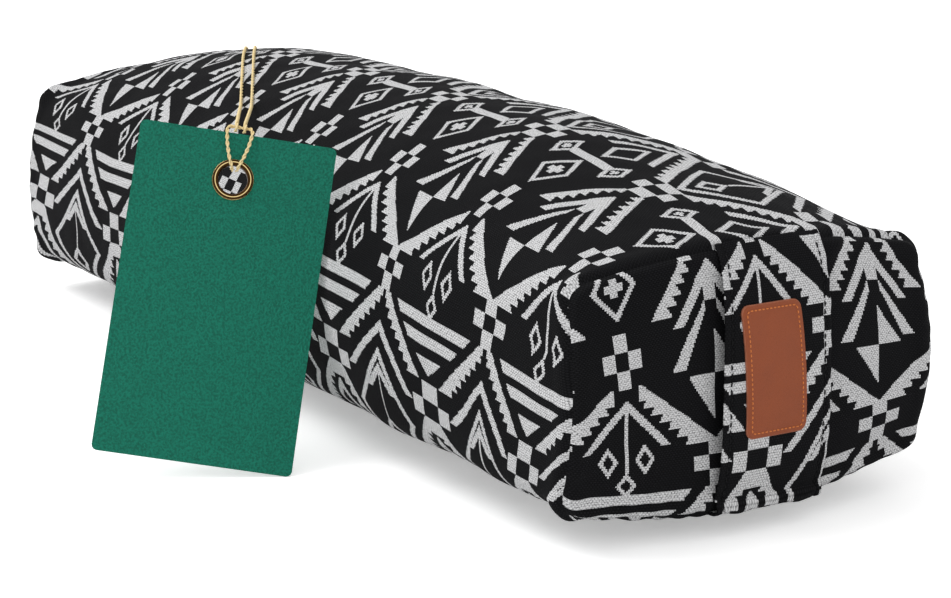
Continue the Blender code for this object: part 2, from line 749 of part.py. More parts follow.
def make_twine():
    hitch = tube("twine_hitch", smooth_route(hitch_route(), HITCH_POINTS), TWINE_RADIUS)
    finish(hitch, TWINE_CREAM, 0.9)
    for name, side in (("left", -1), ("right", 1)):
        strand = tube(f"twine_strand_{name}", strand_route(side), TWINE_RADIUS)
        finish(strand, TWINE_CREAM, 0.9)
    middle = far_panel_place(STRAND_ACROSS, STRAND_DROP_SHARES[-1], KNOT_RADIUS + GAP)
    middle.z -= KNOT_LENGTH / 2 + 2 * GAP
    bm = bmesh.new()
    bmesh.ops.create_icosphere(bm, subdivisions=2, radius=1)
    size = Matrix.Diagonal((KNOT_RADIUS, KNOT_RADIUS, KNOT_LENGTH / 2, 1))
    bm.transform(Matrix.Translation(middle) @ size)
    finish(mesh_object("twine_knot", bm), TWINE_CREAM, 0.9, smooth=True)


make_cover()
make_inner_cushion()
make_zip()
make_slider()
make_handle()
make_tag()
make_twine()
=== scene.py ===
"""Dresses the rectangular yoga bolster: the stuffed jacquard cover, its carry band with
the leather patch, the rear zip, the hang tag on its twine, and a plain studio."""
import json
import math
from typing import NamedTuple

import bpy
import numpy as np
from bpy.props import FloatProperty, FloatVectorProperty, PointerProperty
from mathutils import Matrix, Vector


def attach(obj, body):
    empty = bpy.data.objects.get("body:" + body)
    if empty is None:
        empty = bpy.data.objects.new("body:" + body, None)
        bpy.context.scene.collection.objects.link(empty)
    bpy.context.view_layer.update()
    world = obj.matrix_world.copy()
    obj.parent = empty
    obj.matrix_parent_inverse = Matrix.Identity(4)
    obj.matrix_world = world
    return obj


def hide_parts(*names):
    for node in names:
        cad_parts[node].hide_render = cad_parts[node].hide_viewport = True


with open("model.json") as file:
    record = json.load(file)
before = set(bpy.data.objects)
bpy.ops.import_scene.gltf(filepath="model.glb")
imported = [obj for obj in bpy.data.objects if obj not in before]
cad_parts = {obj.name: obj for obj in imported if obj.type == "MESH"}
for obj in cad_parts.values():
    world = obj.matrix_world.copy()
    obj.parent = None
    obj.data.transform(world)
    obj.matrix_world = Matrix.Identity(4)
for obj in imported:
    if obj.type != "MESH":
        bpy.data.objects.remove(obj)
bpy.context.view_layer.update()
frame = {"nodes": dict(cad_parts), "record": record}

bl_info = {
    "name": "Rectangular Yoga Bolster",
    "version": (1, 0, 0),
    "blender": (4, 5, 0),
    "location": "View3D > Sidebar > Bolster",
    "description": "Builds a stuffed rectangular bolster with its band, zip and hang tag",
    "category": "Add Mesh",
}

PHOTO_SIZE = (951, 598)
MM = 0.001


# Small tools


def linear(code):
    """A colour written as sRGB hex, turned to linear light."""
    parts = [int(code[i : i + 2], 16) / 255 for i in (1, 3, 5)]
    return tuple(c / 12.92 if c <= 0.04045 else ((c + 0.055) / 1.055) ** 2.4 for c in parts)


def seeded_waves(x, y, z, scale, seed):
    """Smooth bumps, mostly from -1 to 1: nine sine waves added up and divided by 4.5.
    Their directions and phases come from the seed, and their lengths are near the scale."""
    rng = np.random.default_rng(seed)
    total = np.zeros_like(x)
    for _ in range(9):
        way = rng.normal(size=3)
        way /= np.linalg.norm(way)
        wave = 2 * math.pi / (scale * rng.uniform(0.7, 1.5))
        total += np.sin(wave * (way[0] * x + way[1] * y + way[2] * z) + rng.uniform(0, 6.3))
    return total / 4.5


def add_mesh(name, points, faces, uv=None, smooth=True):
    """An object at the origin from arrays of points and faces, with the UV of each corner."""
    mesh = bpy.data.meshes.new(name)
    mesh.from_pydata(points.reshape(-1, 3).tolist(), [], faces)
    if uv is not None:
        layer = mesh.uv_layers.new(name="cloth")
        layer.uv.foreach_set("vector", np.asarray(uv, np.float32).ravel())
    mesh.validate()
    mesh.update()
    if smooth:
        mesh.shade_smooth()
    obj = bpy.data.objects.new(name, mesh)
    bpy.context.scene.collection.objects.link(obj)
    return obj


def grid_faces(rows, columns):
    """Corner indices of the faces of a grid of rows by columns, closed round its columns."""
    r, c = np.mgrid[0 : rows - 1, 0:columns]
    first, second = r * columns + c, r * columns + (c + 1) % columns
    return np.stack([first, second, second + columns, first + columns], -1)


def run_along(points):
    """Distance along a path to each of its points: the sum of the steps before it."""
    return np.concatenate([[0], np.cumsum(np.linalg.norm(np.diff(points, axis=0), axis=1))])


def signed_power(values, power):
    """Each value's size to a power, with its sign kept: it squares off a circle."""
    return np.sign(values) * np.abs(values) ** power


def unit(vectors):
    """Each vector of an array drawn to length one."""
    return vectors / np.linalg.norm(vectors, axis=-1)[..., None]


def even_path(points, step):
    """The same path with points at even steps along it."""
    run = run_along(points)
    at = np.linspace(0, run[-1], max(int(run[-1] / step), 8))
    return np.stack([np.interp(at, run, points[:, k]) for k in range(3)], -1)


def smoothed(points, times):
    """A path eased by moving each inner point half way to the middle of its neighbours,
    ends held, so many times."""
    points = points.copy()
    for _ in range(times):
        middle = (points[:-2] + points[2:]) / 2
        points[1:-1] += (middle - points[1:-1]) / 2
    return points


def carried_frames(path):
    """Two unit vectors square to the path at each point, carried along it untwisted."""
    ahead = unit(np.gradient(path, axis=0))
    side = np.cross(ahead[0], [0.0, 0.0, 1.0] if abs(ahead[0, 2]) < 0.9 else [1.0, 0.0, 0.0])
    sides = []
    for way in ahead:
        side = side - way * (side @ way)
        side = side / np.linalg.norm(side)
        sides.append(side)
    sides = np.array(sides)
    return sides, np.cross(ahead, sides)


def twisted_plies(name, path, diameter, lay, plies=2, corners=9):
    """A laid cord as one mesh: each ply is a round tube whose middle circles the path
    once per lay at a quarter of the diameter, and the plies just sink into each other."""
    path = even_path(path, diameter * 0.22)
    side, lift = carried_frames(path)
    run = run_along(path)
    reach, thick = diameter * 0.25, diameter * 0.26
    turn = np.linspace(0, 2 * math.pi, corners, endpoint=False)
    points, faces = [], []
    for ply in range(plies):
        spin = run * 2 * math.pi / lay + ply * 2 * math.pi / plies
        centre = path + reach * (side * np.cos(spin)[:, None] + lift * np.sin(spin)[:, None])
        round_ = side[:, None] * np.cos(turn)[:, None] + lift[:, None] * np.sin(turn)[:, None]
        start = ply * len(path) * corners
        points.append((centre[:, None] + thick * round_).reshape(-1, 3))
        faces += (grid_faces(len(path), corners).reshape(-1, 4) + start).tolist()
        last = start + (len(path) - 1) * corners
        faces += [list(range(start, start + corners))[::-1], list(range(last, last + corners))]
    return outward(add_mesh(name, np.concatenate(points), faces))


def capped(name, rings, uv=None):
    """A closed solid from rings, with one face over each end."""
    rows, columns = rings.shape[:2]
    side = grid_faces(rows, columns).reshape(-1, 4).tolist()
    ends = [list(range(columns))[::-1], [(rows - 1) * columns + i for i in range(columns)]]
    return outward(add_mesh(name, rings, side + ends, uv))


def outward(obj):
    """Turns the faces outwards where the volume within them comes out negative."""
    if signed_volume(obj) < 0:
        obj.data.flip_normals()
    return obj


def signed_volume(obj):
    """Volume within the mesh, negative where its faces point inwards."""
    mesh = obj.data
    mesh.calc_loop_triangles()
    points = np.empty(len(mesh.vertices) * 3)
    mesh.vertices.foreach_get("co", points)
    corners = np.empty(len(mesh.loop_triangles) * 3, np.int32)
    mesh.loop_triangles.foreach_get("vertices", corners)
    tri = points.reshape(-1, 3)[corners.reshape(-1, 3)]
    return float(np.einsum("ij,ij->i", tri[:, 0], np.cross(tri[:, 1], tri[:, 2])).sum() / 6)


def coat(obj, material):
    """Gives a piece this one material."""
    obj.data.materials.clear()
    obj.data.materials.append(material)


def dress(obj, material, body="bolster", replaces=()):
    """Gives a new piece its material and its body, and hides the nodes that it replaces."""
    coat(obj, material)
    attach(obj, body)
    if replaces:
        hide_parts(*replaces)
    return obj


# Materials


def fill(tree, node, inputs):
    """Links each input to a socket, or sets it where the value is a plain one."""
    for name, value in inputs.items():
        socket = node.inputs[name]
        if isinstance(value, bpy.types.NodeSocket):
            tree.links.new(value, socket)
        else:
            socket.default_value = value


def add_node(tree, kind, settings=None, inputs=None):
    """Adds one node with its settings, and fills or links its inputs."""
    node = tree.nodes.new(kind)
    for name, value in (settings or {}).items():
        setattr(node, name, value)
    fill(tree, node, inputs or {})
    return node


def calc(tree, operation, *values):
    """One math node, and its result."""
    inputs = dict(enumerate(values))
    return add_node(tree, "ShaderNodeMath", {"operation": operation}, inputs).outputs[0]


def blend_colour(tree, amount, first, second):
    """A mix of two colours, each a socket or three linear values."""
    ends = [c if isinstance(c, bpy.types.NodeSocket) else (*c, 1) for c in (first, second)]
    inputs = dict(zip((0, 6, 7), (amount, *ends)))
    return add_node(tree, "ShaderNodeMix", {"data_type": "RGBA"}, inputs).outputs[2]


def kept_in(tree, value):
    """The value held between 0 and 1."""
    return add_node(tree, "ShaderNodeClamp", None, {"Value": value}).outputs[0]


def start_material(name):
    """A new material, its node tree and its shader."""
    made = bpy.data.materials.new(name)
    made.use_nodes = True
    return made, made.node_tree, made.node_tree.nodes["Principled BSDF"]


def bump_of(tree, height, distance, strength):
    """A normal from a height, whose full step stands the distance proud, in metres."""
    inputs = {"Height": height, "Distance": distance, "Strength": strength}
    return add_node(tree, "ShaderNodeBump", None, inputs).outputs["Normal"]


def noise_of(tree, vector, scale, detail=2.0, rough=0.5):
    """Soft noise whose bumps are one over the scale apart, in metres."""
    inputs = {"Vector": vector, "Scale": scale, "Detail": detail, "Roughness": rough}
    return add_node(tree, "ShaderNodeTexNoise", None, inputs).outputs["Fac"]


def ribs_of(tree, vector, scale, distortion):
    """Slanted ribs, as twisted or twilled threads show them."""
    inputs = {"Vector": vector, "Scale": scale, "Distortion": distortion}
    settings = {"bands_direction": "DIAGONAL"}
    return add_node(tree, "ShaderNodeTexWave", settings, inputs).outputs["Fac"]


def place_of(tree):
    """Places on the piece in its own coordinates, in metres."""
    return add_node(tree, "ShaderNodeTexCoord").outputs["Object"]


# The woven motifs, in millimetres on the flat cloth. The cloth repeats every 98.3 mm
# along its length and every 271 mm across it, and each repeat is mirrored about two
# axes: axis A through the fans and axis B, half a repeat away, through the crosses.

REPEAT_ALONG = 98.3
REPEAT_ACROSS = 271.0

# Where each band of the repeat starts across the cloth
BANDS = {"A": -146.0, "B": -105.0, "C": -160.0}

# Slats: axis, band of the repeat, start and end of the run across the cloth, edge at
# the start and the end, thickness at the start and its growth, number of teeth, their
# depth, and the least distance from the axis
SLATS = (
    ("A", "A", 96.6, 54.4, 8.0, 32.0, 1.8, 4.2, 7.0, 5.2, 0.0),
    ("A", "A", 84.0, 46.8, 0.6, 21.6, 5.6, 0.0, 0.0, 0.0, 0.0),
    ("A", "A", 59.8, 22.6, 3.9, 23.8, 2.6, 5.0, 0.0, 0.0, 3.4),
    ("B", "A", 18.9, -19.1, 8.3, 50.3, 6.8, 4.8, 8.0, 6.3, 6.8),
    ("A", "A", -43.0, -77.2, 6.1, 40.4, 6.8, 0.4, 8.0, 5.0, 1.6),
    ("A", "A", -59.3, -90.6, 0.4, 32.0, 6.2, 0.0, 0.0, 0.0, 0.0),
    ("A", "A", -81.9, -97.0, 0.4, 13.5, 4.8, 0.0, 0.0, 0.0, 0.0),
    ("B", "C", -97.0, -148.0, 8.0, 43.0, 5.0, 1.5, 9.0, 5.0, 5.0),
    ("B", "B", 165.0, 133.0, 0.4, 20.0, 4.6, 0.0, 0.0, 0.0, 0.0),
    ("B", "B", 11.0, -17.8, 0.6, 24.2, 5.0, 0.0, 0.0, 0.0, 0.0),
    ("B", "B", -43.2, -48.6, 34.8, 30.0, 99.0, 0.0, 0.0, 0.0, 0.0),
    ("B", "B", -52.6, -58.4, 26.2, 20.4, 99.0, 0.0, 0.0, 0.0, 0.0),
    ("B", "B", -63.9, -73.2, 11.8, 0.0, 99.0, 0.0, 0.0, 0.0, 0.0),
)

# Diamonds: axis, band, centre along and across, half width, half height, and the
# share of it that is hollow
DIAMONDS = (
    ("A", "A", 0.0, -109.6, 26.0, 36.4, 0.85),
    ("A", "A", 0.0, -123.0, 7.5, 11.0, 0.55),
    ("B", "B", 21.5, 105.0, 7.0, 13.0, 0.60),
    ("B", "B", 0.0, 79.7, 12.0, 20.5, 0.74),
    ("B", "B", 0.0, 129.5, 10.5, 17.5, 0.70),
    ("B", "B", 9.6, -24.0, 5.2, 8.9, 0.54),
    ("B", "B", 0.0, -38.0, 5.4, 7.3, 0.54),
)

# Blocks: axis, band, centre along and across, half width, half height
BLOCKS = (
    ("A", "A", 0.0, 68.5, 3.5, 8.7),
    ("A", "A", 0.0, -98.5, 0.8, 13.5),
    ("B", "B", 0.0, 105.2, 15.5, 3.4),
    ("B", "B", 21.5, 105.0, 1.1, 3.2),
    ("B", "B", 21.5, 105.0, 2.4, 1.4),
    ("B", "B", 0.0, 80.0, 2.1, 5.6),
    ("B", "B", 0.0, 80.0, 4.6, 2.6),
    ("B", "B", 0.0, -10.8, 0.9, 20.5),
)

# Checks, four light squares about a dark one: axis, band, centre across, width of the
# middle squares, width of the side squares, height of each
CHECKS = (
    ("A", "A", 110.7, 12.4, 8.2, 9.4),
    ("A", "A", -30.4, 9.4, 8.2, 8.6),
    ("B", "B", 35.5, 6.8, 6.5, 11.2),
    ("B", "B", -91.0, 14.0, 9.8, 9.3),
)

# The tie of two triangles: its place across the cloth, half width and half height
BOW_TIE = (18.4, 14.5, 25.5)


def sub_group(name, sockets):
    """A node group with number inputs and a mask as its output."""
    tree = bpy.data.node_groups.new(name, "ShaderNodeTree")
    for socket in sockets:
        tree.interface.new_socket(socket, in_out="INPUT", socket_type="NodeSocketFloat")
    tree.interface.new_socket("Mask", in_out="OUTPUT", socket_type="NodeSocketFloat")
    start = tree.nodes.new("NodeGroupInput")
    end = tree.nodes.new("NodeGroupOutput")
    return tree, [start.outputs[s] for s in sockets], end.inputs["Mask"]


def distance(tree, first, second):
    """How far apart two numbers are."""
    return calc(tree, "ABSOLUTE", calc(tree, "SUBTRACT", first, second))


def slat_group():
    """A slanted bar: light where the run is between its ends and the distance inside
    its straight edge is less than its thickness, which grows along it in saw teeth."""
    names = ("Run", "Off", "From", "To", "Edge", "Edge End", "Thick", "Growth", "Teeth", "Depth")
    tree, sockets, mask = sub_group("woven_slat", (*names, "Least"))
    run, off, first, last, edge, edge_end, thick, growth, teeth, depth, least = sockets
    whole = calc(tree, "SUBTRACT", last, first)
    share = calc(tree, "DIVIDE", calc(tree, "SUBTRACT", run, first), whole)
    line = calc(tree, "MULTIPLY_ADD", share, calc(tree, "SUBTRACT", edge_end, edge), edge)
    inside = calc(tree, "SUBTRACT", line, off)
    saw = calc(tree, "FRACT", calc(tree, "MULTIPLY", share, teeth))
    deep = calc(tree, "MULTIPLY_ADD", saw, depth, thick)
    limit = calc(tree, "MULTIPLY_ADD", share, growth, deep)
    tests = (
        calc(tree, "GREATER_THAN", inside, 0.0),
        calc(tree, "LESS_THAN", inside, limit),
        calc(tree, "GREATER_THAN", off, least),
        calc(tree, "LESS_THAN", distance(tree, share, 0.5), 0.5),
    )
    both = [calc(tree, "MULTIPLY", *tests[i : i + 2]) for i in (0, 2)]
    tree.links.new(calc(tree, "MULTIPLY", *both), mask)
    return tree


def diamond_group():
    """A diamond's outline: the sum of the two distances over their half sizes is
    under one and over the hollow share."""
    names = ("X", "Y", "Centre X", "Centre Y", "Half Width", "Half Height", "Hollow")
    tree, (x, y, cx, cy, hw, hh, hollow), mask = sub_group("woven_diamond", names)
    dx = calc(tree, "DIVIDE", distance(tree, x, cx), hw)
    dy = calc(tree, "DIVIDE", distance(tree, y, cy), hh)
    total = calc(tree, "ADD", dx, dy)
    rim = calc(tree, "GREATER_THAN", total, hollow)
    tree.links.new(calc(tree, "MULTIPLY", calc(tree, "LESS_THAN", total, 1.0), rim), mask)
    return tree


def block_group():
    """A square-cornered block: both distances from its centre are under its half sizes."""
    names = ("X", "Y", "Centre X", "Centre Y", "Half Width", "Half Height")
    tree, (x, y, cx, cy, hw, hh), mask = sub_group("woven_block", names)
    dx = calc(tree, "LESS_THAN", distance(tree, x, cx), hw)
    dy = calc(tree, "LESS_THAN", distance(tree, y, cy), hh)
    tree.links.new(calc(tree, "MULTIPLY", dx, dy), mask)
    return tree


def motif_group():
    """The whole repeat as one mask, from millimetres along and across the cloth."""
    tree, (along, across), mask = sub_group("woven_motifs", ("Along", "Across"))
    slat, diamond, block = slat_group(), diamond_group(), block_group()
    signed = calc(tree, "WRAP", along, REPEAT_ALONG / 2, -REPEAT_ALONG / 2)
    from_a = calc(tree, "ABSOLUTE", signed)
    off = {"A": from_a, "B": calc(tree, "SUBTRACT", REPEAT_ALONG / 2, from_a)}
    height = {k: calc(tree, "WRAP", across, low + REPEAT_ACROSS, low) for k, low in BANDS.items()}

    def use(group, *values):
        node = add_node(tree, "ShaderNodeGroup", {"node_tree": group}, dict(enumerate(values)))
        return node.outputs["Mask"]

    found = [use(slat, height[band], off[axis], *sizes) for axis, band, *sizes in SLATS]
    found += [use(diamond, off[axis], height[band], *sizes) for axis, band, *sizes in DIAMONDS]
    blocks = list(BLOCKS)
    for axis, band, centre, middle, side, tall in CHECKS:
        blocks.append((axis, band, 0.0, centre + tall, middle / 2, tall / 2))
        blocks.append((axis, band, 0.0, centre - tall, middle / 2, tall / 2))
        blocks.append((axis, band, (middle + side) / 2, centre, side / 2, tall / 2))
    found += [use(block, off[axis], height[band], *sizes) for axis, band, *sizes in blocks]
    base, half, tall = BOW_TIE
    same_side = calc(tree, "MULTIPLY", signed, calc(tree, "SUBTRACT", height["A"], base))
    tie = use(diamond, signed, height["A"], 0.0, base, half, tall, -1.0)
    found.append(calc(tree, "MULTIPLY", tie, calc(tree, "GREATER_THAN", same_side, 0.0)))
    while len(found) > 1:
        found = found[2:] + [calc(tree, "MAXIMUM", *found[:2])]
    tree.links.new(found[0], mask)
    return tree


# Spacing of the cloth's threads in millimetres, along and across. The real ones are about
# half as wide, and would be lost in a render of this size
WARP, WEFT = 0.95, 0.80


def jacquard_material(colours):
    """Heavy black and white jacquard. The motifs are read per thread, so their slanted
    edges step as woven ones do; painted shade in the pits between the floats, with a
    random speckle, freckles the light yarn; the dark ground is painted blacker in the
    shade between its knots and flecked paler at random; both are dry and matt."""
    made, tree, shader = start_material("jacquard_black_and_white")
    uv = add_node(tree, "ShaderNodeUVMap", {"uv_map": "cloth"}).outputs["UV"]
    parts = add_node(tree, "ShaderNodeSeparateXYZ", None, {"Vector": uv})
    # The cloth's places in millimetres, with a slow wander of the threads
    drift = calc(tree, "MULTIPLY_ADD", noise_of(tree, uv, 24.0, 1.0), 2.0, -1.0)
    sway = calc(tree, "MULTIPLY_ADD", noise_of(tree, uv, 17.0, 1.0), -2.0, 1.0)
    along = calc(tree, "MULTIPLY_ADD", parts.outputs["X"], 1000.0, drift)
    across = calc(tree, "MULTIPLY_ADD", parts.outputs["Y"], 1000.0, sway)
    columns = calc(tree, "DIVIDE", along, WARP)
    rows = calc(tree, "DIVIDE", across, WEFT)
    thread_u = calc(tree, "MULTIPLY", calc(tree, "ADD", calc(tree, "FLOOR", columns), 0.5), WARP)
    thread_v = calc(tree, "MULTIPLY", calc(tree, "ADD", calc(tree, "FLOOR", rows), 0.5), WEFT)
    threads = {"Along": thread_u, "Across": thread_v}
    group = add_node(tree, "ShaderNodeGroup", {"node_tree": motif_group()}, threads)
    motifs = group.outputs["Mask"]
    # Each float is a rounded knot, and every rib's knots lie half a knot further on
    ribs = calc(tree, "MULTIPLY", rows, 0.66)
    step = calc(tree, "MULTIPLY", calc(tree, "FLOOR", ribs), 0.5)
    rib = calc(tree, "SINE", calc(tree, "MULTIPLY", calc(tree, "FRACT", ribs), math.pi))
    place = calc(tree, "MULTIPLY_ADD", columns, 0.55, step)
    knot = calc(tree, "SINE", calc(tree, "MULTIPLY", calc(tree, "FRACT", place), math.pi))
    relief = calc(tree, "MULTIPLY", calc(tree, "POWER", rib, 0.7), calc(tree, "POWER", knot, 0.7))
    uneven = noise_of(tree, uv, 1000.0, 2.0, 0.7)
    # Light yarn: painted shade towards yarn_shadow in the troughs between the knots, with a random
    # speckle from the noise
    shade = calc(tree, "MULTIPLY_ADD", uneven, 2.6, calc(tree, "MULTIPLY_ADD", relief, 0.8, -1.0))
    light_yarn = blend_colour(tree, kept_in(tree, shade), colours.yarn_shadow, colours.light_yarn)
    # Dark yarn: painted blacker towards #060607 in the shade of the same troughs, and flecked at
    # random
    dark_shade = calc(tree, "MULTIPLY", calc(tree, "MULTIPLY", relief, uneven), 1.6)
    dark_yarn = blend_colour(tree, dark_shade, linear("#060607"), colours.dark_yarn)
    raised = calc(tree, "MULTIPLY_ADD", motifs, 0.35, calc(tree, "MULTIPLY", relief, 0.65))
    inputs = {
        "Base Color": blend_colour(tree, motifs, dark_yarn, light_yarn),
        "Roughness": 0.95,
        "Specular IOR Level": 0.08,
        "Normal": bump_of(tree, raised, 0.0003, 0.8),
    }
    fill(tree, shader, inputs)
    return made


def leather_material(colours):
    """Smooth cognac leather: fine pores in a mottled tan, with the mottle a little
    rougher, so that its gloss is broken and low."""
    made, tree, shader = start_material("cognac_leather")
    place = place_of(tree)
    mottle = noise_of(tree, place, 60.0, 4.0, 0.6)
    cells = {"Vector": place, "Scale": 1500.0}
    cells = add_node(tree, "ShaderNodeTexVoronoi", {"feature": "DISTANCE_TO_EDGE"}, cells)
    pores = cells.outputs["Distance"]
    tone = blend_colour(tree, mottle, colours.leather_dark, colours.leather)
    grain = calc(tree, "MINIMUM", calc(tree, "MULTIPLY", pores, 7.0), 1.0)
    shade = calc(tree, "MULTIPLY_ADD", grain, 0.2, 0.8)
    fine = calc(tree, "ADD", grain, calc(tree, "MULTIPLY", mottle, 2.0))
    inputs = {
        "Base Color": blend_colour(tree, shade, linear("#4A2413"), tone),
        "Roughness": calc(tree, "MULTIPLY_ADD", mottle, 0.18, 0.42),
        "Specular IOR Level": 0.25,
        "Normal": bump_of(tree, fine, 0.00008, 0.6),
    }
    fill(tree, shader, inputs)
    return made


def cut_edge_material():
    """The pale, fibrous cut edge of the leather."""
    made, tree, shader = start_material("leather_cut_edge")
    fibres = noise_of(tree, place_of(tree), 900.0, 3.0)
    tone = blend_colour(tree, fibres, linear("#6A3420"), linear("#B36A4A"))
    fill(tree, shader, {"Base Color": tone, "Roughness": 0.8})
    return made


def thread_material(name, code, dark):
    """Twisted sewing thread: fine slanted plies, with painted light on the top of each ply and
    painted shade between them.
    """
    made, tree, shader = start_material(name)
    plies = ribs_of(tree, place_of(tree), 900.0, 0.5)
    # The plies' tops take the light colour and the grooves between them the dark one, as painted
    # light and shade
    inputs = {
        "Base Color": blend_colour(tree, plies, linear(dark), linear(code)),
        "Roughness": 0.75,
        "Specular IOR Level": 0.15,
        "Normal": bump_of(tree, plies, 0.0001, 0.5),
    }
    fill(tree, shader, inputs)
    return made


def card_material(colours):
    """Green uncoated board with an eggshell grain pressed into it: painted shade in its pits,
    paler bosses, and a slow mottle of the ink."""
    made, tree, shader = start_material("green_textured_board")
    place = place_of(tree)
    mottle = noise_of(tree, place, 60.0, 3.0)
    grain = noise_of(tree, place, 880.0, 2.0, 0.55)
    ink = blend_colour(tree, mottle, colours.card_dark, colours.card)
    # The same grain as the bump: painted shade in its pits, towards #0A5947, and the ink's colour
    # on its bosses
    limits = {"Value": grain, "From Min": 0.36, "From Max": 0.60}
    pit_shade_and_boss_light = add_node(tree, "ShaderNodeMapRange", None, limits).outputs["Result"]
    inputs = {
        "Base Color": blend_colour(tree, pit_shade_and_boss_light, linear("#0A5947"), ink),
        "Roughness": 0.7,
        "Specular IOR Level": 0.18,
        "Normal": bump_of(tree, grain, 0.0007, 1.0),
    }
    fill(tree, shader, inputs)
    return made


def brass_material(centre):
    """Antique brass: a painted highlight on the crest of the roll and on its outer rim,
    painted shade in brown between them and down the throat, read by the distance from its
    centre, and a mottle of tarnish."""
    made, tree, shader = start_material("antique_brass")
    place = place_of(tree)
    tarnish = noise_of(tree, place, 420.0, 3.0)
    away = add_node(tree, "ShaderNodeVectorMath", {"operation": "DISTANCE"}, {0: place, 1: centre})
    radius = calc(tree, "MULTIPLY", away.outputs["Value"], 1000.0)
    # Painted highlight: bright rings on the roll's crest and on the outer rim, brown painted shade
    # elsewhere, mottled by the tarnish noise
    crest = calc(tree, "SUBTRACT", 1.0, distance(tree, radius, 9.9))
    rim = calc(tree, "MULTIPLY", calc(tree, "SUBTRACT", radius, 11.15), 2.6)
    painted_highlight_and_tarnish = calc(tree, "MAXIMUM", calc(tree, "MULTIPLY_ADD", crest, 3.2, -2.1), rim)
    painted_highlight_and_tarnish = calc(tree, "MULTIPLY_ADD", tarnish, 0.4, calc(tree, "SUBTRACT", painted_highlight_and_tarnish, 0.2))
    painted_highlight_and_tarnish = kept_in(tree, painted_highlight_and_tarnish)
    inputs = {
        "Base Color": blend_colour(tree, painted_highlight_and_tarnish, linear("#3C2813"), linear("#F0D596")),
        "Metallic": 1.0,
        "Roughness": calc(tree, "MULTIPLY_ADD", tarnish, 0.25, 0.18),
    }
    fill(tree, shader, inputs)
    return made


def twine_material(colours):
    """Cream cotton twine: fine fibres along the plies, tan in the lay, quite matt."""
    made, tree, shader = start_material("cream_twine")
    place = place_of(tree)
    fibres = noise_of(tree, place, 1500.0, 3.0, 0.7)
    patches = noise_of(tree, place, 150.0, 2.0)
    tone = blend_colour(tree, patches, colours.twine_dark, colours.twine)
    shade = calc(tree, "MULTIPLY_ADD", fibres, 0.9, 0.35)
    inputs = {
        "Base Color": blend_colour(tree, shade, linear("#B08A4C"), tone),
        "Roughness": 0.9,
        "Specular IOR Level": 0.2,
        "Normal": bump_of(tree, fibres, 0.0003, 0.8),
    }
    fill(tree, shader, inputs)
    return made


def twill_material(name, light, dark, scale):
    """Plain woven tape or cloth: fine slanted ribs, painted darker in the shade between them, and
    a soft, uneven tone.
    """
    made, tree, shader = start_material(name)
    place = place_of(tree)
    ribs = ribs_of(tree, place, scale, 0.3)
    uneven = noise_of(tree, place, 300.0, 2.0)
    # Painted shade between the ribs, blended with a random unevenness of tone
    mixed = calc(tree, "MULTIPLY_ADD", uneven, 0.3, calc(tree, "MULTIPLY", ribs, 0.7))
    inputs = {
        "Base Color": blend_colour(tree, mixed, linear(dark), linear(light)),
        "Roughness": 0.9,
        "Sheen Weight": 0.15,
        "Normal": bump_of(tree, ribs, 0.0002, 0.6),
    }
    fill(tree, shader, inputs)
    return made


def moulded_material(name, code, dark, metallic, roughness):
    """Moulded plastic or lacquered casting: near black, with handling marks in the gloss."""
    made, tree, shader = start_material(name)
    marks = noise_of(tree, place_of(tree), 500.0, 3.0)
    inputs = {
        "Base Color": blend_colour(tree, marks, linear(dark), linear(code)),
        "Metallic": metallic,
        "Roughness": calc(tree, "MULTIPLY_ADD", marks, 0.25, roughness),
    }
    fill(tree, shader, inputs)
    return made


# The stuffed form, the same as the solid's but with each corner where it really sits: its
# box between the seams and over the floor, how far each face swells at the seams and in
# the middle of the length, the bulge of the seams and of the end panels, the power that
# the swell dies away with, and how square a section is in the middle and at the ends

LENGTH, WIDTH, HEIGHT, LIFT = 650 * MM, 232.5 * MM, 114.5 * MM, 20.8 * MM
SIDE_END, SIDE_MIDDLE = 2.4 * MM, 12.4 * MM
TOP_END, TOP_MIDDLE = 14.8 * MM, 34.0 * MM
BASE_END, BASE_MIDDLE = 12.0 * MM, 9.5 * MM
SEAM_BULGE, PANEL_BULGE = 14.4 * MM, 17.0 * MM
SWELL_POWER = 3.4
POWER_MIDDLE, POWER_END = 8.9, 14.0

# The flat that the rear wall is held to, so that the zip can lie on it
REAR_WALL = 120.8 * MM

# Turn of the front top edge round a section, points round the cover, and how far along
# from the cover's middle, in metres, an axis A of the woven repeat lies
TOP_EDGE = 0.75 * math.pi
RING_POINTS = 460
CLOTH_MIDDLE = 0.2643

# How far each corner sits from its plain place, in metres: along, across and up.
# Corners go front top, rear top, front base, rear base at the near end, then the far end
CORNERS = np.array(
    [
        [-0.0021, 0.0044, 0.0025],
        [-0.0016, -0.0072, 0.0012],
        [0.0002, 0.0004, 0.0016],
        [0.0, -0.0029, 0.0043],
        [0.0010, 0.0026, 0.0038],
        [0.0033, 0.0035, -0.0074],
        [-0.0016, -0.0023, 0.0023],
        [0.0, 0.0, 0.0],
    ]
)


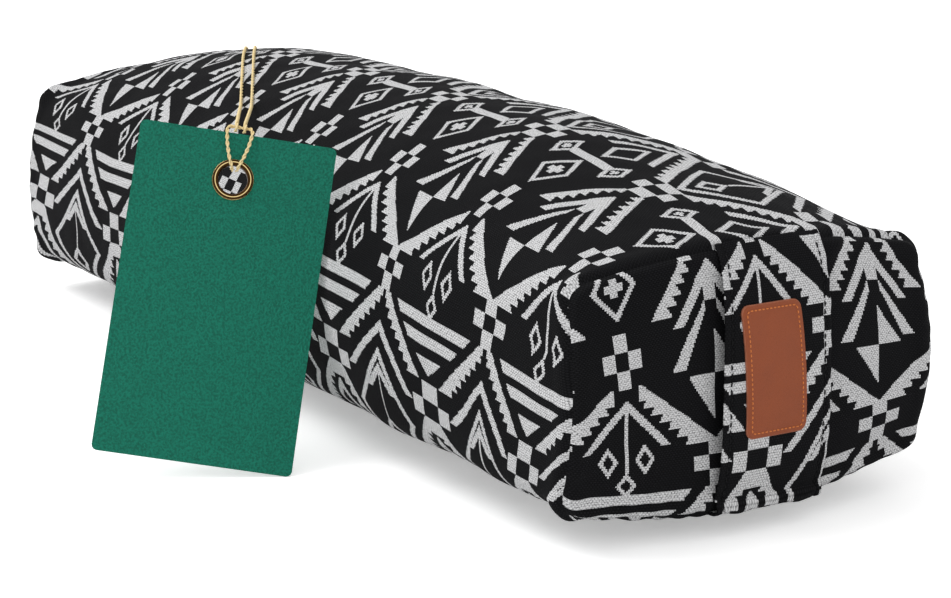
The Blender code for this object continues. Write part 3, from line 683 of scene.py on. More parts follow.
def stuffed_form(along, across, up):
    """Straight lines between the eight corners, plus a swell that is greatest in the
    middle of each face and dies away towards the seams with a power of the place."""
    half = np.array([LENGTH / 2, WIDTH / 2, HEIGHT / 2])
    share = (along + 1) / 2
    swell = 1 - np.abs(along) ** SWELL_POWER
    shift = np.zeros((*along.shape, 3))
    for index, corner in enumerate(CORNERS):
        end = share if index < 4 else 1 - share
        side = (1 + across) / 2 if index % 2 else (1 - across) / 2
        tall = (1 + up) / 2 if index % 4 < 2 else (1 - up) / 2
        shift += corner * (end * side * tall)[..., None]
    out = SIDE_END + SIDE_MIDDLE * swell
    top = np.where(up > 0, TOP_END + TOP_MIDDLE * swell, BASE_END + BASE_MIDDLE * swell)
    edge = SEAM_BULGE * (2 - across**2 - up**2)
    face = (PANEL_BULGE - 2 * SEAM_BULGE) * (1 - across**2) * (1 - up**2)
    x = along * half[0] + signed_power(along, 6) * (edge + face)
    y = across * half[1] + out * across * (1 - up**2)
    z = LIFT + HEIGHT / 2 + up * half[2] + top * up * (1 - across**2)
    return np.stack([x, y, z], -1) + shift


def rounded_section(turn, along):
    """Unit places on a rounded rectangle, squarer towards the ends of the form."""
    power = POWER_MIDDLE + (POWER_END - POWER_MIDDLE) * np.abs(along) ** 5
    across, up = np.cos(turn), np.sin(turn)
    reach = (np.abs(across) ** power + np.abs(up) ** power) ** (-1 / power)
    return across * reach, up * reach


def ring_turns(count):
    """Turns of the points round a section, from the middle of the base back to it."""
    return np.linspace(-math.pi / 2, 3 * math.pi / 2, count + 1)


def stuffed_rings(turns, places, shares):
    """The form as three grids of rings, the far panel from its middle out, the wrap from
    end to end and the near panel, with the panels' places across and up."""
    across, up = rounded_section(turns[None], places[:, None])
    wrap = stuffed_form(np.broadcast_to(places[:, None], across.shape), across, up)
    across, up = (rim * shares[:, None] for rim in rounded_section(turns, np.array(1.0)))
    far, near = (stuffed_form(np.full_like(across, end), across, up) for end in (-1.0, 1.0))
    return far, wrap, near, across, up


def cloth_drift(x, across):
    """How far the cloth has moved on the stuffing, along and across, in metres: drawn
    over the crown, gathered at the far end and eased round the front base edge."""
    across = np.clip(across, -0.13, 0.115)
    crown, front = np.maximum(across - 0.025, 0), np.maximum(-0.03 - across, 0)
    far, near = np.maximum(-0.19 - x, 0), np.maximum(x - 0.25, 0)
    along = 0.0025 + 0.073 * across + crown * (0.06 - 1.05 * x) + 0.125 * front
    along += far * (0.042 - 2.54 * across) + 5.4 * near * front
    over = -0.0022 - 0.0195 * x + 0.113 * x**2 + crown * (0.168 + 0.048 * x)
    return along, over + 0.068 * front - 0.07 * far


def wrap_cloth_places(points, turns):
    """Where each point of the long wrap lies on the flat cloth, in metres: along the
    length, and across it as the path from the front top edge, with the cloth's drift."""
    steps = np.linalg.norm(np.diff(points, axis=1), axis=2)
    path = np.concatenate([np.zeros((len(points), 1)), np.cumsum(steps, axis=1)], axis=1)
    across = np.array([np.interp(TOP_EDGE, turns, row) for row in path])[:, None] - path
    x = points[..., 0]
    # The cloth has slid round the form, differently on the top and on the front, and the
    # two blend from 36 mm behind the front top edge to 30 mm below it
    low = np.clip((0.036 - across) / 0.066, 0, 1)
    slide_top = -0.007 + (0.313 - x) * 0.0318
    slide_front = -0.0027 + (0.267 - x) * 0.055
    slide = slide_top + (slide_front - slide_top) * low
    stretch = np.where(across < -0.031, (across + 0.031) * 0.02, 0)
    centre = CLOTH_MIDDLE + 0.0027 * low + 0.004 * np.clip((-0.03 - across) / 0.06, 0, 1)
    u, v = x - centre, across - slide + stretch
    drift = cloth_drift(x, v)
    return np.stack([u + drift[0], v + drift[1]], -1)


def panel_cloth_places(across, up, end):
    """Places on the flat cloth of an end panel, in metres: straight across it and up it,
    with the small stretch that the panel's bulge gives the motifs."""
    side = across * end
    along = 0.1057 * side - 0.0702 + up * (0.0049 + 0.001 * up - 0.001 * side)
    over = 0.0094 - 0.0009 * side + 0.0016 * side**2
    over = over + up * (0.0743 + 0.0051 * up + 0.0012 * side)
    return np.stack([along, over], -1)


def cloth_relief(points, seam_distance, path, corner):
    """Soft lumps of the stuffing, a crease along each seam, puckers that fan out from it
    and die away, and a small pinched ear at each corner, as a distance along the normal."""
    x, y, z = points[..., 0], points[..., 1], points[..., 2]
    lumps = 0.0012 * seeded_waves(x, y, z, 0.085, 4) + 0.0006 * seeded_waves(x, y, z, 0.032, 9)
    crease = -0.0036 * np.exp(-((seam_distance / 0.0024) ** 2))
    shoulder = 0.0013 * np.exp(-(((seam_distance - 0.0075) / 0.005) ** 2))
    beat = 2 * math.pi * path / 0.0145 + 2.2 * np.sin(path * 29.0)
    beat = beat + 1.3 * np.sin(path * 67.0 + 1.0)
    strength = 0.6 + 0.4 * np.sin(path * 21.0 + 2.0)
    pucker = 0.00075 * strength * np.sin(beat) * np.exp(-seam_distance / 0.016)
    pucker *= 1 - np.exp(-seam_distance / 0.002)
    pinch = np.exp(-((seam_distance / 0.008) ** 2))
    ear = 0.005 * np.clip((corner - 0.72) / 0.2, 0, 1) ** 2 * pinch
    return lumps * np.clip(seam_distance / 0.02, 0, 1) + crease + shoulder + pucker + ear


def ring_normals(points):
    """Outward normals of a closed grid of rings, from the differences along and around."""
    down = np.gradient(points, axis=0)
    around = (np.roll(points, -1, axis=1) - np.roll(points, 1, axis=1)) / 2
    normal = np.cross(around, down)
    return normal / np.maximum(np.linalg.norm(normal, axis=2), 1e-12)[..., None]


def places_along():
    """Places along the form, closest together beside the two seams."""
    t = np.linspace(-1, 1, 301)
    return np.sign(t) * (1 - (1 - np.abs(t)) ** 1.3)


# The opening in the rear wall that the zip lies in: ends along, edges up, depth, and the
# slant of its walls. The inset is how far the inner cushion stays inside the cover
ZIP_ENDS = (-205.2 * MM, 211.2 * MM)
ZIP_EDGES = (55.7 * MM, 78.3 * MM)
ZIP_DEPTH, ZIP_SLANT = 6.0 * MM, 0.05 * MM
LINER_INSET = 5.5 * MM


def sink_zip(rings):
    """Steps the rear wall in round the zip: the grid lines nearest the opening's edges
    are drawn onto them, the next ones in stand just within, and the rest is the floor."""
    middle = rings[len(rings) // 2]
    columns = np.flatnonzero(middle[:, 1] > REAR_WALL * 0.97)
    heights = middle[columns, 2]
    low, high = (int(np.abs(heights - edge).argmin()) for edge in ZIP_EDGES)
    if low > high:
        columns, low, high = columns[::-1], len(columns) - 1 - low, len(columns) - 1 - high
    reach = rings[:, columns[(low + high) // 2], 0]
    wrap = np.flatnonzero(np.abs(reach) < LENGTH * 0.45)
    first, last = (int(wrap[np.abs(reach[wrap] - end).argmin()]) for end in ZIP_ENDS)
    if first > last:
        first, last = last, first
    ends = sorted(ZIP_ENDS, reverse=bool(reach[first] > reach[last]))
    inward = np.sign(ends[1] - ends[0]) * ZIP_SLANT
    block = np.ix_(np.arange(first, last + 1), columns[low : high + 1])
    patch = rings[block]
    patch[:, 0, 2], patch[:, -1, 2] = ZIP_EDGES
    patch[:, 1, 2], patch[:, -2, 2] = ZIP_EDGES[0] + ZIP_SLANT, ZIP_EDGES[1] - ZIP_SLANT
    patch[0, :, 0], patch[-1, :, 0] = ends
    patch[1, :, 0], patch[-2, :, 0] = ends[0] + inward, ends[1] - inward
    patch[..., 1] = REAR_WALL
    patch[1:-1, 1:-1, 1] = REAR_WALL - ZIP_DEPTH
    rings[block] = patch


def corner_values(block):
    """The values of a grid's points at the four corners of each of its faces."""
    corners = [block[:-1, :-1], block[:-1, 1:], block[1:, 1:], block[1:, :-1]]
    return np.stack(corners, 2).reshape(-1, 2)


def tube_corners(uv):
    """Cloth places at every face corner of a capped tube, from those of its points."""
    closed = np.concatenate([uv, uv[:, :1]], 1)
    return np.concatenate([corner_values(closed), uv[0][::-1], uv[-1]])


def build_cover():
    """One closed surface: a dished end panel, the long wrap, and the other end panel,
    as rings that shrink to a point at the middle of each panel."""
    count = RING_POINTS
    turns = ring_turns(count)
    shares = np.linspace(0, 1, 64) ** 0.75
    far, wrap, near, across, up = stuffed_rings(turns, places_along(), shares)
    far_uv, near_uv = (panel_cloth_places(across, up, end) for end in (-1, 1))
    rings = np.concatenate([far, wrap[1:-1], near[::-1]])[:, :-1]
    # Distances for the relief: round each ring, and across the rings to the nearer seam
    steps = np.diff(wrap, axis=1, prepend=wrap[:, -2:-1])
    path = np.cumsum(np.linalg.norm(steps, axis=2), axis=1)
    flat = far.shape[:2]
    path = [np.broadcast_to(path[0], flat), path[1:-1], np.broadcast_to(path[-1], flat)]
    path = np.concatenate(path)[:, :-1]
    line = np.zeros((len(rings), count))
    line[1:] = np.cumsum(np.linalg.norm(np.diff(rings, axis=0), axis=2), axis=0)
    seams = line[[len(far) - 1, len(rings) - len(near)]]
    seam_distance = np.minimum(np.abs(line - seams[0]), np.abs(line - seams[1]))
    normals = ring_normals(rings)
    if normals[len(rings) // 2, count // 2, 2] < 0:
        normals = -normals
    corner = np.abs(across[-1] * up[-1])[:-1]
    rings = rings + normals * cloth_relief(rings, seam_distance, path, corner)[..., None]
    rings[..., 1] = np.minimum(rings[..., 1], REAR_WALL)
    rings[..., 2] = np.maximum(rings[..., 2], 0)
    sink_zip(rings)

    # The panels' innermost rings are single points, with a fan of triangles round each
    body = rings[1:-1]
    rows = len(body)
    poles = rings[0].mean(axis=0), rings[-1].mean(axis=0)
    points = np.concatenate([poles[:1], body.reshape(-1, 3), poles[1:]])
    quads = grid_faces(rows, count) + 1
    inner_far, inner_near = far_uv[1:], near_uv[::-1][:-1]
    grids = inner_far, wrap_cloth_places(wrap, turns), inner_near
    uv = [corner_values(part) for part in grids]
    i = np.arange(count)
    j = (i + 1) % count
    last = 1 + (rows - 1) * count
    far_fan = np.stack([np.zeros(count, int), j + 1, i + 1], -1)
    near_fan = np.stack([np.full(count, len(points) - 1), last + i, last + j], -1)
    poles_uv = [np.broadcast_to(part[0, 0], (count, 2)) for part in (far_uv, near_uv)]
    uv.append(np.stack([poles_uv[0], inner_far[0, 1:], inner_far[0, :-1]], 1).reshape(-1, 2))
    uv.append(np.stack([poles_uv[1], inner_near[-1, :-1], inner_near[-1, 1:]], 1).reshape(-1, 2))
    faces = quads.reshape(-1, 4).tolist() + far_fan.tolist() + near_fan.tolist()
    return outward(add_mesh("cushion_cover", points, faces, np.concatenate(uv)))


# Carry band: its width, its thickness, and how far inside its edges it is stitched

BAND_WIDTH, BAND_THICK = 68 * MM, 2.8 * MM
BAND_EDGE = 4.2 * MM

# Where the band turns under the base edge, along and up
BAND_TUCK = ((331.0, 16.5), (335.5, 14.0), (340.5, 13.8), (344.2, 16.2))


class BandLine(NamedTuple):
    """The band's middle line: its points along and up, the directions out of its face
    there, and the distance along it to each of them."""

    path: np.ndarray
    out: np.ndarray
    steps: np.ndarray


def band_path(count):
    """Middle line of the band over the near panel: it turns under the base edge, bows
    off the panel in the middle and dives into the seam at the top."""
    up = np.linspace(-0.87, 0.995, 90)
    panel = stuffed_form(np.ones_like(up), np.zeros_like(up), up)
    level = (up - up[0]) / (up[-1] - up[0]) * 2 - 1
    bow = 6.6 * MM * (1 - np.abs(level) ** 4) - 3.2 * MM * np.clip(level, 0, 1) ** 14
    line = np.stack([panel[:, 0] + bow, np.zeros_like(up), panel[:, 2]], -1)
    tuck = np.array([(x * MM, 0.0, z * MM) for x, z in BAND_TUCK])
    line = smoothed(even_path(np.concatenate([tuck, line]), 1.0 * MM), 12)
    at = np.linspace(0, len(line) - 1, count)
    path = np.stack([np.interp(at, np.arange(len(line)), line[:, k]) for k in (0, 2)], -1)
    ahead = unit(np.gradient(path, axis=0))
    return BandLine(path, np.stack([ahead[:, 1], -ahead[:, 0]], -1), run_along(path))


def band_spread(side, run, total):
    """Where a place across the band really sits: the band is drawn in towards both
    seams and leans a little, and its ends are gathered."""
    share = run / total
    waist = 1 - 0.055 * share**3 - 0.05 * np.exp(-share / 0.09)
    return side * waist - 0.8 * MM * np.sin(math.pi * share) + 1.6 * MM * (1 - share) + 1.4 * MM


def band_lift(side, run, total):
    """Height of the band's face over its middle line: a sunk line of stitches inside
    each edge, ripples between the stitches and gathers at both ends."""
    share = run / total
    off = np.abs(side) / (BAND_WIDTH / 2)
    sunk = np.exp(-(((np.abs(side) - (BAND_WIDTH / 2 - BAND_EDGE)) / (1.0 * MM)) ** 2))
    ripple = 0.3 * MM * np.sin(run * 2 * math.pi / 0.0115 + np.sign(side) * 1.3) * off**3
    ends = np.exp(-share / 0.10) + 0.5 * np.exp(-(1 - share) / 0.08)
    gather = 0.9 * MM * ends * np.sin(side * 2 * math.pi / 0.019 + 1.0 + 2.0 * share)
    return ripple + gather - 0.8 * MM * sunk


def band_place(side, run, lift, line):
    """A point on the band from its place across it, along it and over its middle line."""
    lines = (*line.path.T, *line.out.T)
    x, z, out_x, out_z = (np.interp(run, line.steps, values) for values in lines)
    y = band_spread(side, run, line.steps[-1])
    height = np.maximum(z + out_z * lift, 0.2 * MM)
    return np.stack([x + out_x * lift, y, height], -1)


def band_outward(run, line):
    """The directions out of the band's face at places along it."""
    x, z = (np.interp(run, line.steps, values) for values in line.out.T)
    return np.stack([x, 0 * x, z], -1)


def build_band(line):
    """A flat sleeve: a flattened ring carried along the band's middle line."""
    total = line.steps[-1]
    turn = np.linspace(0, 2 * math.pi, 150, endpoint=False)
    run = np.linspace(0, total, 190)[:, None]
    side = signed_power(np.cos(turn), 0.3) * BAND_WIDTH / 2
    deep = signed_power(np.sin(turn), 0.6) * BAND_THICK / 2
    run, side, deep = np.broadcast_arrays(run, side, deep)
    lift = BAND_THICK / 2 + deep + band_lift(side, run, total) * (deep > 0)
    # The sleeve's cloth is laid so that its motifs sit on the band as they should
    down = total - run
    over = 11 * MM - 1.052 * (down - 8.8 * MM) + 1.3 * (down - 8.8 * MM) * (down - 63 * MM)
    uv = np.stack([side * 1.08 - 35.8 * MM, over], -1)
    return capped("carry_band", band_place(side, run, lift, line), tube_corners(uv))


def build_webbing(line):
    """The flat strap within the sleeve, as a thin rectangle carried along the same line."""
    half, low, high = BAND_WIDTH / 2 - BAND_EDGE - 2.5 * MM, 0.9 * MM, 1.9 * MM
    side = np.array([-1, -0.97, 0.97, 1, 1, 0.97, -0.97, -1]) * half
    lift = np.repeat([low, high], 4)
    run = np.linspace(line.steps[-1] * 0.04, line.steps[-1] * 0.97, 120)[:, None]
    side, lift, run = np.broadcast_arrays(side, lift, run)
    return capped("band_webbing", band_place(side, run, lift, line))


# Patch and stitches: its half sizes and its corners' radius, its thickness, and the height
# of its middle over the floor

PATCH_HALF_WIDTH, PATCH_HALF_HEIGHT, PATCH_CORNER = 19 * MM, 34.5 * MM, 4.6 * MM
PATCH_THICK = 1.5 * MM
PATCH_MIDDLE = 88.0 * MM

# Stitches: how far inside the patch's edge they run, the radius of their loop's corners,
# the radii of the patch's and the band's thread, and the points that the loop is cut into
STITCH_INSET, STITCH_CORNER = 2.9 * MM, 2.2 * MM
STITCH_RADIUS, TOPSTITCH_RADIUS = 0.38 * MM, 0.42 * MM
LOOP_POINTS = 4000


def rounded_outline(half_w, half_h, corner, count):
    """Points round a rectangle with round corners, at even steps along it."""
    turn = np.linspace(0, math.pi / 2, 24)
    quarter = np.stack([np.cos(turn), np.sin(turn)], -1) * corner
    centre = np.array([half_w - corner, half_h - corner])
    first = quarter + centre
    second = np.stack([-quarter[::-1, 0], quarter[::-1, 1]], -1) + centre * (-1, 1)
    loop = np.vstack([first, second, -first, -second])
    loop = np.vstack([loop, loop[:1]])
    run = run_along(loop)
    at = np.arange(count + 1) * run[-1] / count
    return np.stack([np.interp(at, run, loop[:, k]) for k in (0, 1)], -1)


def on_patch(outline, lift, line):
    """An outline laid on the band: its height is a place along the band's middle line,
    and the whole patch leans and bows a little."""
    level = outline[:, 1] / PATCH_HALF_HEIGHT
    lean = (-2.8 - 2.4 * level - 1.45 * level**2) * MM
    run = along_patch(outline, line)
    return band_place(outline[:, 0] + lean, run, BAND_THICK + lift, line)


def along_patch(outline, line):
    """How far along the band each point of an outline lies."""
    return np.interp(PATCH_MIDDLE, line.path[:, 1], line.steps) + outline[:, 1]


def build_patch(line):
    """A flat plate with rounded edges, as shrinking outlines on its face and its back."""
    outline = rounded_outline(PATCH_HALF_WIDTH, PATCH_HALF_HEIGHT, PATCH_CORNER, 200)[:-1]
    shares = np.concatenate([np.linspace(0.05, 0.88, 11), [0.93, 0.965, 0.985, 1.0]])
    # Going outwards: the flat face, the pressed line, the crown beside it and the edge
    places, drops = [0.0, 0.90, 0.93, 0.965, 0.985, 1.0], [0.0, 0.0, 0.18, 0.10, 0.35, 0.8]
    drop = np.interp(shares, places, drops) * MM
    rings = [on_patch(outline * s, PATCH_THICK - d, line) for s, d in zip(shares, drop)]
    rings += [on_patch(outline * s, -0.3 * MM, line) for s in (1.0, 0.6, 0.05)]
    patch = capped("leather_patch_face", np.array(rings))
    row = np.arange(len(patch.data.polygons)) // len(outline)
    edge = (row >= len(shares) - 2) & (row <= len(shares) - 1)
    return patch, edge.astype(np.int32)


def place_stitches(name, starts, ends, normals, radius, material):
    """Short threads that rise out of the cloth, lie along it and go back in: each is a
    thin tube along a low arch between its two ends."""
    rings, sides = 7, 6
    share = np.linspace(0, 1, rings)[:, None]
    arch = np.array([-1.6, -0.2, 0.45, 0.6, 0.45, -0.2, -1.6])[:, None] * radius
    starts, ends, normals = (np.asarray(v)[:, None] for v in (starts, ends, normals))
    centre = starts + (ends - starts) * share + normals * arch
    ahead = unit(np.gradient(centre, axis=1))
    side = unit(np.cross(ahead, normals))
    lift = np.cross(side, ahead)
    turn = np.linspace(0, 2 * math.pi, sides, endpoint=False)[:, None]
    ring = side[:, :, None] * np.cos(turn) + lift[:, :, None] * np.sin(turn)
    width = radius * np.array([0.7, 0.95, 1.0, 1.0, 1.0, 0.95, 0.7])
    points = centre[:, :, None] + ring * width[:, None, None]
    begin = np.arange(len(points))[:, None] * rings * sides
    around = grid_faces(rings, sides).reshape(-1, 4) + begin[..., None]
    corner = np.arange(sides)
    caps = np.concatenate([corner[::-1] + begin, corner + (rings - 1) * sides + begin])
    obj = add_mesh(name, points, around.reshape(-1, 4).tolist() + caps.tolist())
    return dress(outward(obj), material)


# Zip welts: the folded edges of the cover's cloth above and below the zip. Height of the
# zip's middle, each welt's two edges from there, its ends along, and how far it stands out

ZIP_MIDDLE = 67 * MM
WELT = (9.6 * MM, 14.2 * MM)
WELT_ENDS = (-207.5 * MM, 213.5 * MM)
WELT_RISE = 1.3 * MM


def rear_cloth_places(x, z):
    """Where a place on the rear wall lies on the flat cloth, read off the middle ring."""
    turns = ring_turns(RING_POINTS)
    across, up = rounded_section(turns, np.array(0.0))
    ring = stuffed_form(np.zeros_like(across), across, up)
    laid = wrap_cloth_places(ring[None], turns)[0]
    rear = np.abs(turns) < 0.7
    over = np.interp(z, ring[rear, 2], laid[rear, 1])
    drift, level = cloth_drift(x, over), cloth_drift(0 * x, over)[1]
    return np.stack([x - CLOTH_MIDDLE + drift[0], over + drift[1] - level], -1)


def build_welt(side):
    """A flattened tube laid along one edge of the opening, with its inner edge folded."""
    turn = np.linspace(0, 2 * math.pi, 28, endpoint=False)
    across, deep = signed_power(np.cos(turn), 0.45), signed_power(np.sin(turn), 0.7)
    x = np.linspace(*WELT_ENDS, 260)[:, None]
    middle, half = ZIP_MIDDLE + side * (WELT[0] + WELT[1]) / 2, (WELT[1] - WELT[0]) / 2
    wave = 0.25 * MM * np.sin(x * 2 * math.pi / 0.021 + side) * (across * side < 0)
    z = middle + half * across + wave
    y = REAR_WALL + WELT_RISE / 2 + (WELT_RISE / 2 + 0.1 * MM) * deep
    x, y = np.broadcast_to(x, z.shape), np.broadcast_to(y, z.shape)
    uv = rear_cloth_places(x, ZIP_MIDDLE + side * WELT[1] + (z - middle) * 1.1)
    name = "zip_welt_upper" if side > 0 else "zip_welt_lower"
    return capped(name, np.stack([x, y, z], -1), tube_corners(uv))


def welt_stitches(pitch):
    """Ends of the stitches along the outer edge of both welts."""
    x = np.arange(WELT_ENDS[0] + 2 * MM, WELT_ENDS[1] - 2 * MM - pitch, pitch)
    starts, ends = [], []
    for side in (-1, 1):
        z = np.full_like(x, ZIP_MIDDLE + side * (WELT[1] - 1.4 * MM))
        y = np.full_like(x, REAR_WALL + WELT_RISE)
        starts.append(np.stack([x, y, z], -1))
        ends.append(np.stack([x + pitch * 0.7, y, z], -1))
    return np.concatenate(starts), np.concatenate(ends)


# Twine of the hang tag. The tag stands on its lower corner and leans back on the front
# wall; its own frame runs across its face, up it and out of its front, in millimetres.
# TWINE is the twine's thickness, and TWINE_GAP keeps it off the card and off itself. The
# HITCH values place the loop, and the STRAND values the two strands on the cover

TAG_FOOT = (116.2, -214.2)
TAG_YAW, TAG_LEAN, TAG_ROLL = (math.radians(a) for a in (66.87, 22.22, 10.33))
TAG_HALF_WIDTH, TAG_HEIGHT, TAG_CORNER, TAG_FRONT = 54.5, 184.0, 3.0, 0.4
EYELET_DROP, EYELET_HOLE, EYELET_FLANGE = 26.1, 8.0, 11.6
TWINE, TWINE_GAP = 2.1, 0.3
HITCH_HALF_WIDTH, HITCH_BACK = 7.0, 1.0
HITCH_OFFSET = TAG_FRONT + 1.2 + 1.5 * TWINE_GAP + TWINE / 2
HITCH_TOP = TAG_HEIGHT + 1.5 * TWINE + 2 * TWINE_GAP
ROUND_HITCH = TWINE + TWINE_GAP
STRAND_SPREAD, STRAND_ACROSS = 2.4, 51.0
STRAND_EASE, KNOT_DROP = 6 * MM, 5.0 * MM


def on_tag(places):
    """Points of the tag's own frame, in millimetres, as points in metres."""
    level = np.array([math.cos(TAG_YAW), math.sin(TAG_YAW), 0])
    steep = np.array([-level[1], level[0], 0]) * math.sin(TAG_LEAN) + [0, 0, math.cos(TAG_LEAN)]
    across = math.cos(TAG_ROLL) * level - math.sin(TAG_ROLL) * steep
    up = math.sin(TAG_ROLL) * level + math.cos(TAG_ROLL) * steep
    # The rise sets the card's rounded lower corner on the floor
    turned = math.sin(TAG_ROLL) + math.cos(TAG_ROLL) - 1
    corner = TAG_HALF_WIDTH * math.sin(TAG_ROLL) - TAG_CORNER * turned
    rise = TAG_FRONT * math.sin(TAG_LEAN) + corner * math.cos(TAG_LEAN)
    foot = np.array([*TAG_FOOT, rise])
    return (foot + np.asarray(places) @ np.array([across, up, np.cross(across, up)])) * MM


def hitch_route():
    """Middle of the loop: up through the eyelet, spread to two legs down the front of the
    card, over its top edge and across behind as the bar that the strands pass round."""
    eye, half = TAG_HEIGHT - EYELET_DROP, HITCH_HALF_WIDTH
    inside = EYELET_HOLE - TWINE / 2 - TWINE_GAP
    right = [
        (inside * 0.20, eye + inside * 0.80, -TAG_FRONT),
        (inside * 0.26, eye + inside * 0.96, HITCH_OFFSET * 0.8),
        (inside * 0.36, eye + EYELET_HOLE + TWINE_GAP, HITCH_OFFSET + 2 * TWINE_GAP),
        (half * 0.56, eye + EYELET_FLANGE + TWINE_GAP, HITCH_OFFSET),
        (half * 0.86, TAG_HEIGHT - EYELET_DROP / 4, HITCH_OFFSET * 0.85),
        (half, TAG_HEIGHT - TWINE_GAP, HITCH_OFFSET * 0.75),
        (half, (TAG_HEIGHT + HITCH_TOP) / 2, HITCH_OFFSET * 0.55),
        (half * 0.88, HITCH_TOP, 0.0),
        (half * 0.62, HITCH_TOP, -HITCH_BACK),
        (half * 0.30, HITCH_TOP, -HITCH_BACK),
    ]
    left = [(-across, up, front) for across, up, front in right[::-1]]
    return smoothed(even_path(on_tag(right + left), 0.4 * MM), 14)


def top_of(cover, x, y):
    """Height of the cover's upper face over a place on the floor."""
    found, place, _, _ = cover.ray_cast(Vector((x, y, 1.0)), Vector((0, 0, -1)))
    return place.z if found else 0.0


def on_far_panel(cover, y, z, lift):
    """A point over the far end panel, at a place across it and up it."""
    found, place, normal, _ = cover.ray_cast(Vector((-1.0, y, z)), Vector((1, 0, 0)))
    if not found:
        raise RuntimeError("the strand has left the far end panel")
    return np.array(place + normal * lift)


def strand_route(cover, side):
    """Middle of one strand: round the bar of the loop, over the crown as a taut line
    would lie on it, and down the far end panel into the knot."""
    rest = (TWINE / 2 + 0.1) * MM
    spread = STRAND_SPREAD * MM * side
    turns = np.radians(np.arange(0, 171, 10))
    up, front = HITCH_TOP - ROUND_HITCH * np.cos(turns), ROUND_HITCH * np.sin(turns) - HITCH_BACK
    round_bar = on_tag(np.stack([np.full(len(turns), side * STRAND_SPREAD), up, front], -1))
    # Over the crown: the higher of the cloth's top and a taut line, eased where they meet
    points = [round_bar[-1]]
    start = on_tag([(0, HITCH_TOP + ROUND_HITCH, -HITCH_BACK)])[0]
    across = STRAND_ACROSS * 2 * MM / WIDTH
    crest = stuffed_form(*np.array([[-1.0], [across], [1.0]]))[0]
    reach = crest - start
    beside = np.array([-reach[1], reach[0], 0]) / math.hypot(*reach[:2]) * -spread
    for share in np.linspace(0, 1, 160, endpoint=False)[1:]:
        place = start + reach * share + beside * (1 + 0.45 * math.sin(math.pi * share))
        lying, taut = top_of(cover, place[0], place[1]) + rest, start[2] - 0.05 * share
        ease = max(STRAND_EASE - abs(lying - taut), 0) / STRAND_EASE
        place[2] = max(lying, taut) + ease * ease * STRAND_EASE / 4
        points.append(place)
    # Down the far end panel, and together into the knot
    panel_top = crest[2]
    for down in np.array([3, 6, 10, 14, 19, 24, 29]) * MM:
        points.append(on_far_panel(cover, crest[1] + spread, panel_top - down, rest))
    points.append(on_far_panel(cover, crest[1], points[-1][2] - KNOT_DROP, 4 * MM))
    line = smoothed(even_path(np.array(points), 0.8 * MM), 60)
    return smoothed(even_path(np.concatenate([round_bar[:-1], line]), 0.4 * MM), 8)


def knot_route(middle):
    """A trefoil: twice round its axis while it weaves in and out three times."""
    t = np.linspace(0, 2 * math.pi, 121)
    y, z = np.sin(t) + 2 * np.sin(2 * t), np.cos(t) - 2 * np.cos(2 * t)
    return middle + np.stack([np.sin(3 * t) * -1.3, y * 1.05, z * 1.2], -1) * MM


# Operators


def colour(name, text, code):
    """A colour that the user may change, with its name, what it colours and its default."""
    return FloatVectorProperty(name=name, description=text, subtype="COLOR", default=linear(code))


def length(name, text, default):
    """A length that the user may change, with its name, what it measures and its default."""
    return FloatProperty(name=name, description=text, unit="LENGTH", default=default)


class BolsterColours(bpy.types.PropertyGroup):
    """Colours of the bolster's cloth, leather, board and twine."""

    light_yarn: colour("Light yarn", "Light yarn of the jacquard", "#D2D2D3")
    # The light yarn's painted shade, laid between its threads
    yarn_shadow: colour("Light yarn, shaded", "Between the light threads", "#545455")
    dark_yarn: colour("Dark yarn", "Dark ground of the jacquard", "#1C1C1E")
    leather: colour("Leather", "Face of the patch", "#934A27")
    leather_dark: colour("Leather, darker", "Darker mottle of the patch", "#834023")
    card: colour("Board", "Face of the hang tag", "#12755F")
    card_dark: colour("Board, darker", "Darker mottle of the hang tag", "#0F6D58")
    twine: colour("Twine", "Light part of the twine", "#F6E8BC")
    twine_dark: colour("Twine, darker", "Tan cast of the twine", "#E4CB8E")


class BolsterSizes(bpy.types.PropertyGroup):
    """Sizes of the dressing that a user may change."""

    stitch_pitch: length("Stitch pitch", "From one patch stitch to the next", 0.0025)
    topstitch_pitch: length("Topstitch pitch", "From one band stitch to the next", 0.0042)


# The camera that sees what the photo shows: its azimuth, elevation and roll in degrees,
# its place in metres, its focal length in pixels and the width of its sensor
CAMERA_ANGLES = (58.326, 14.112, 0.316)
CAMERA_PLACE = (1.3546, -0.7982, 0.4434)
CAMERA_FOCAL, SENSOR_WIDTH = 2634.3, 36.0


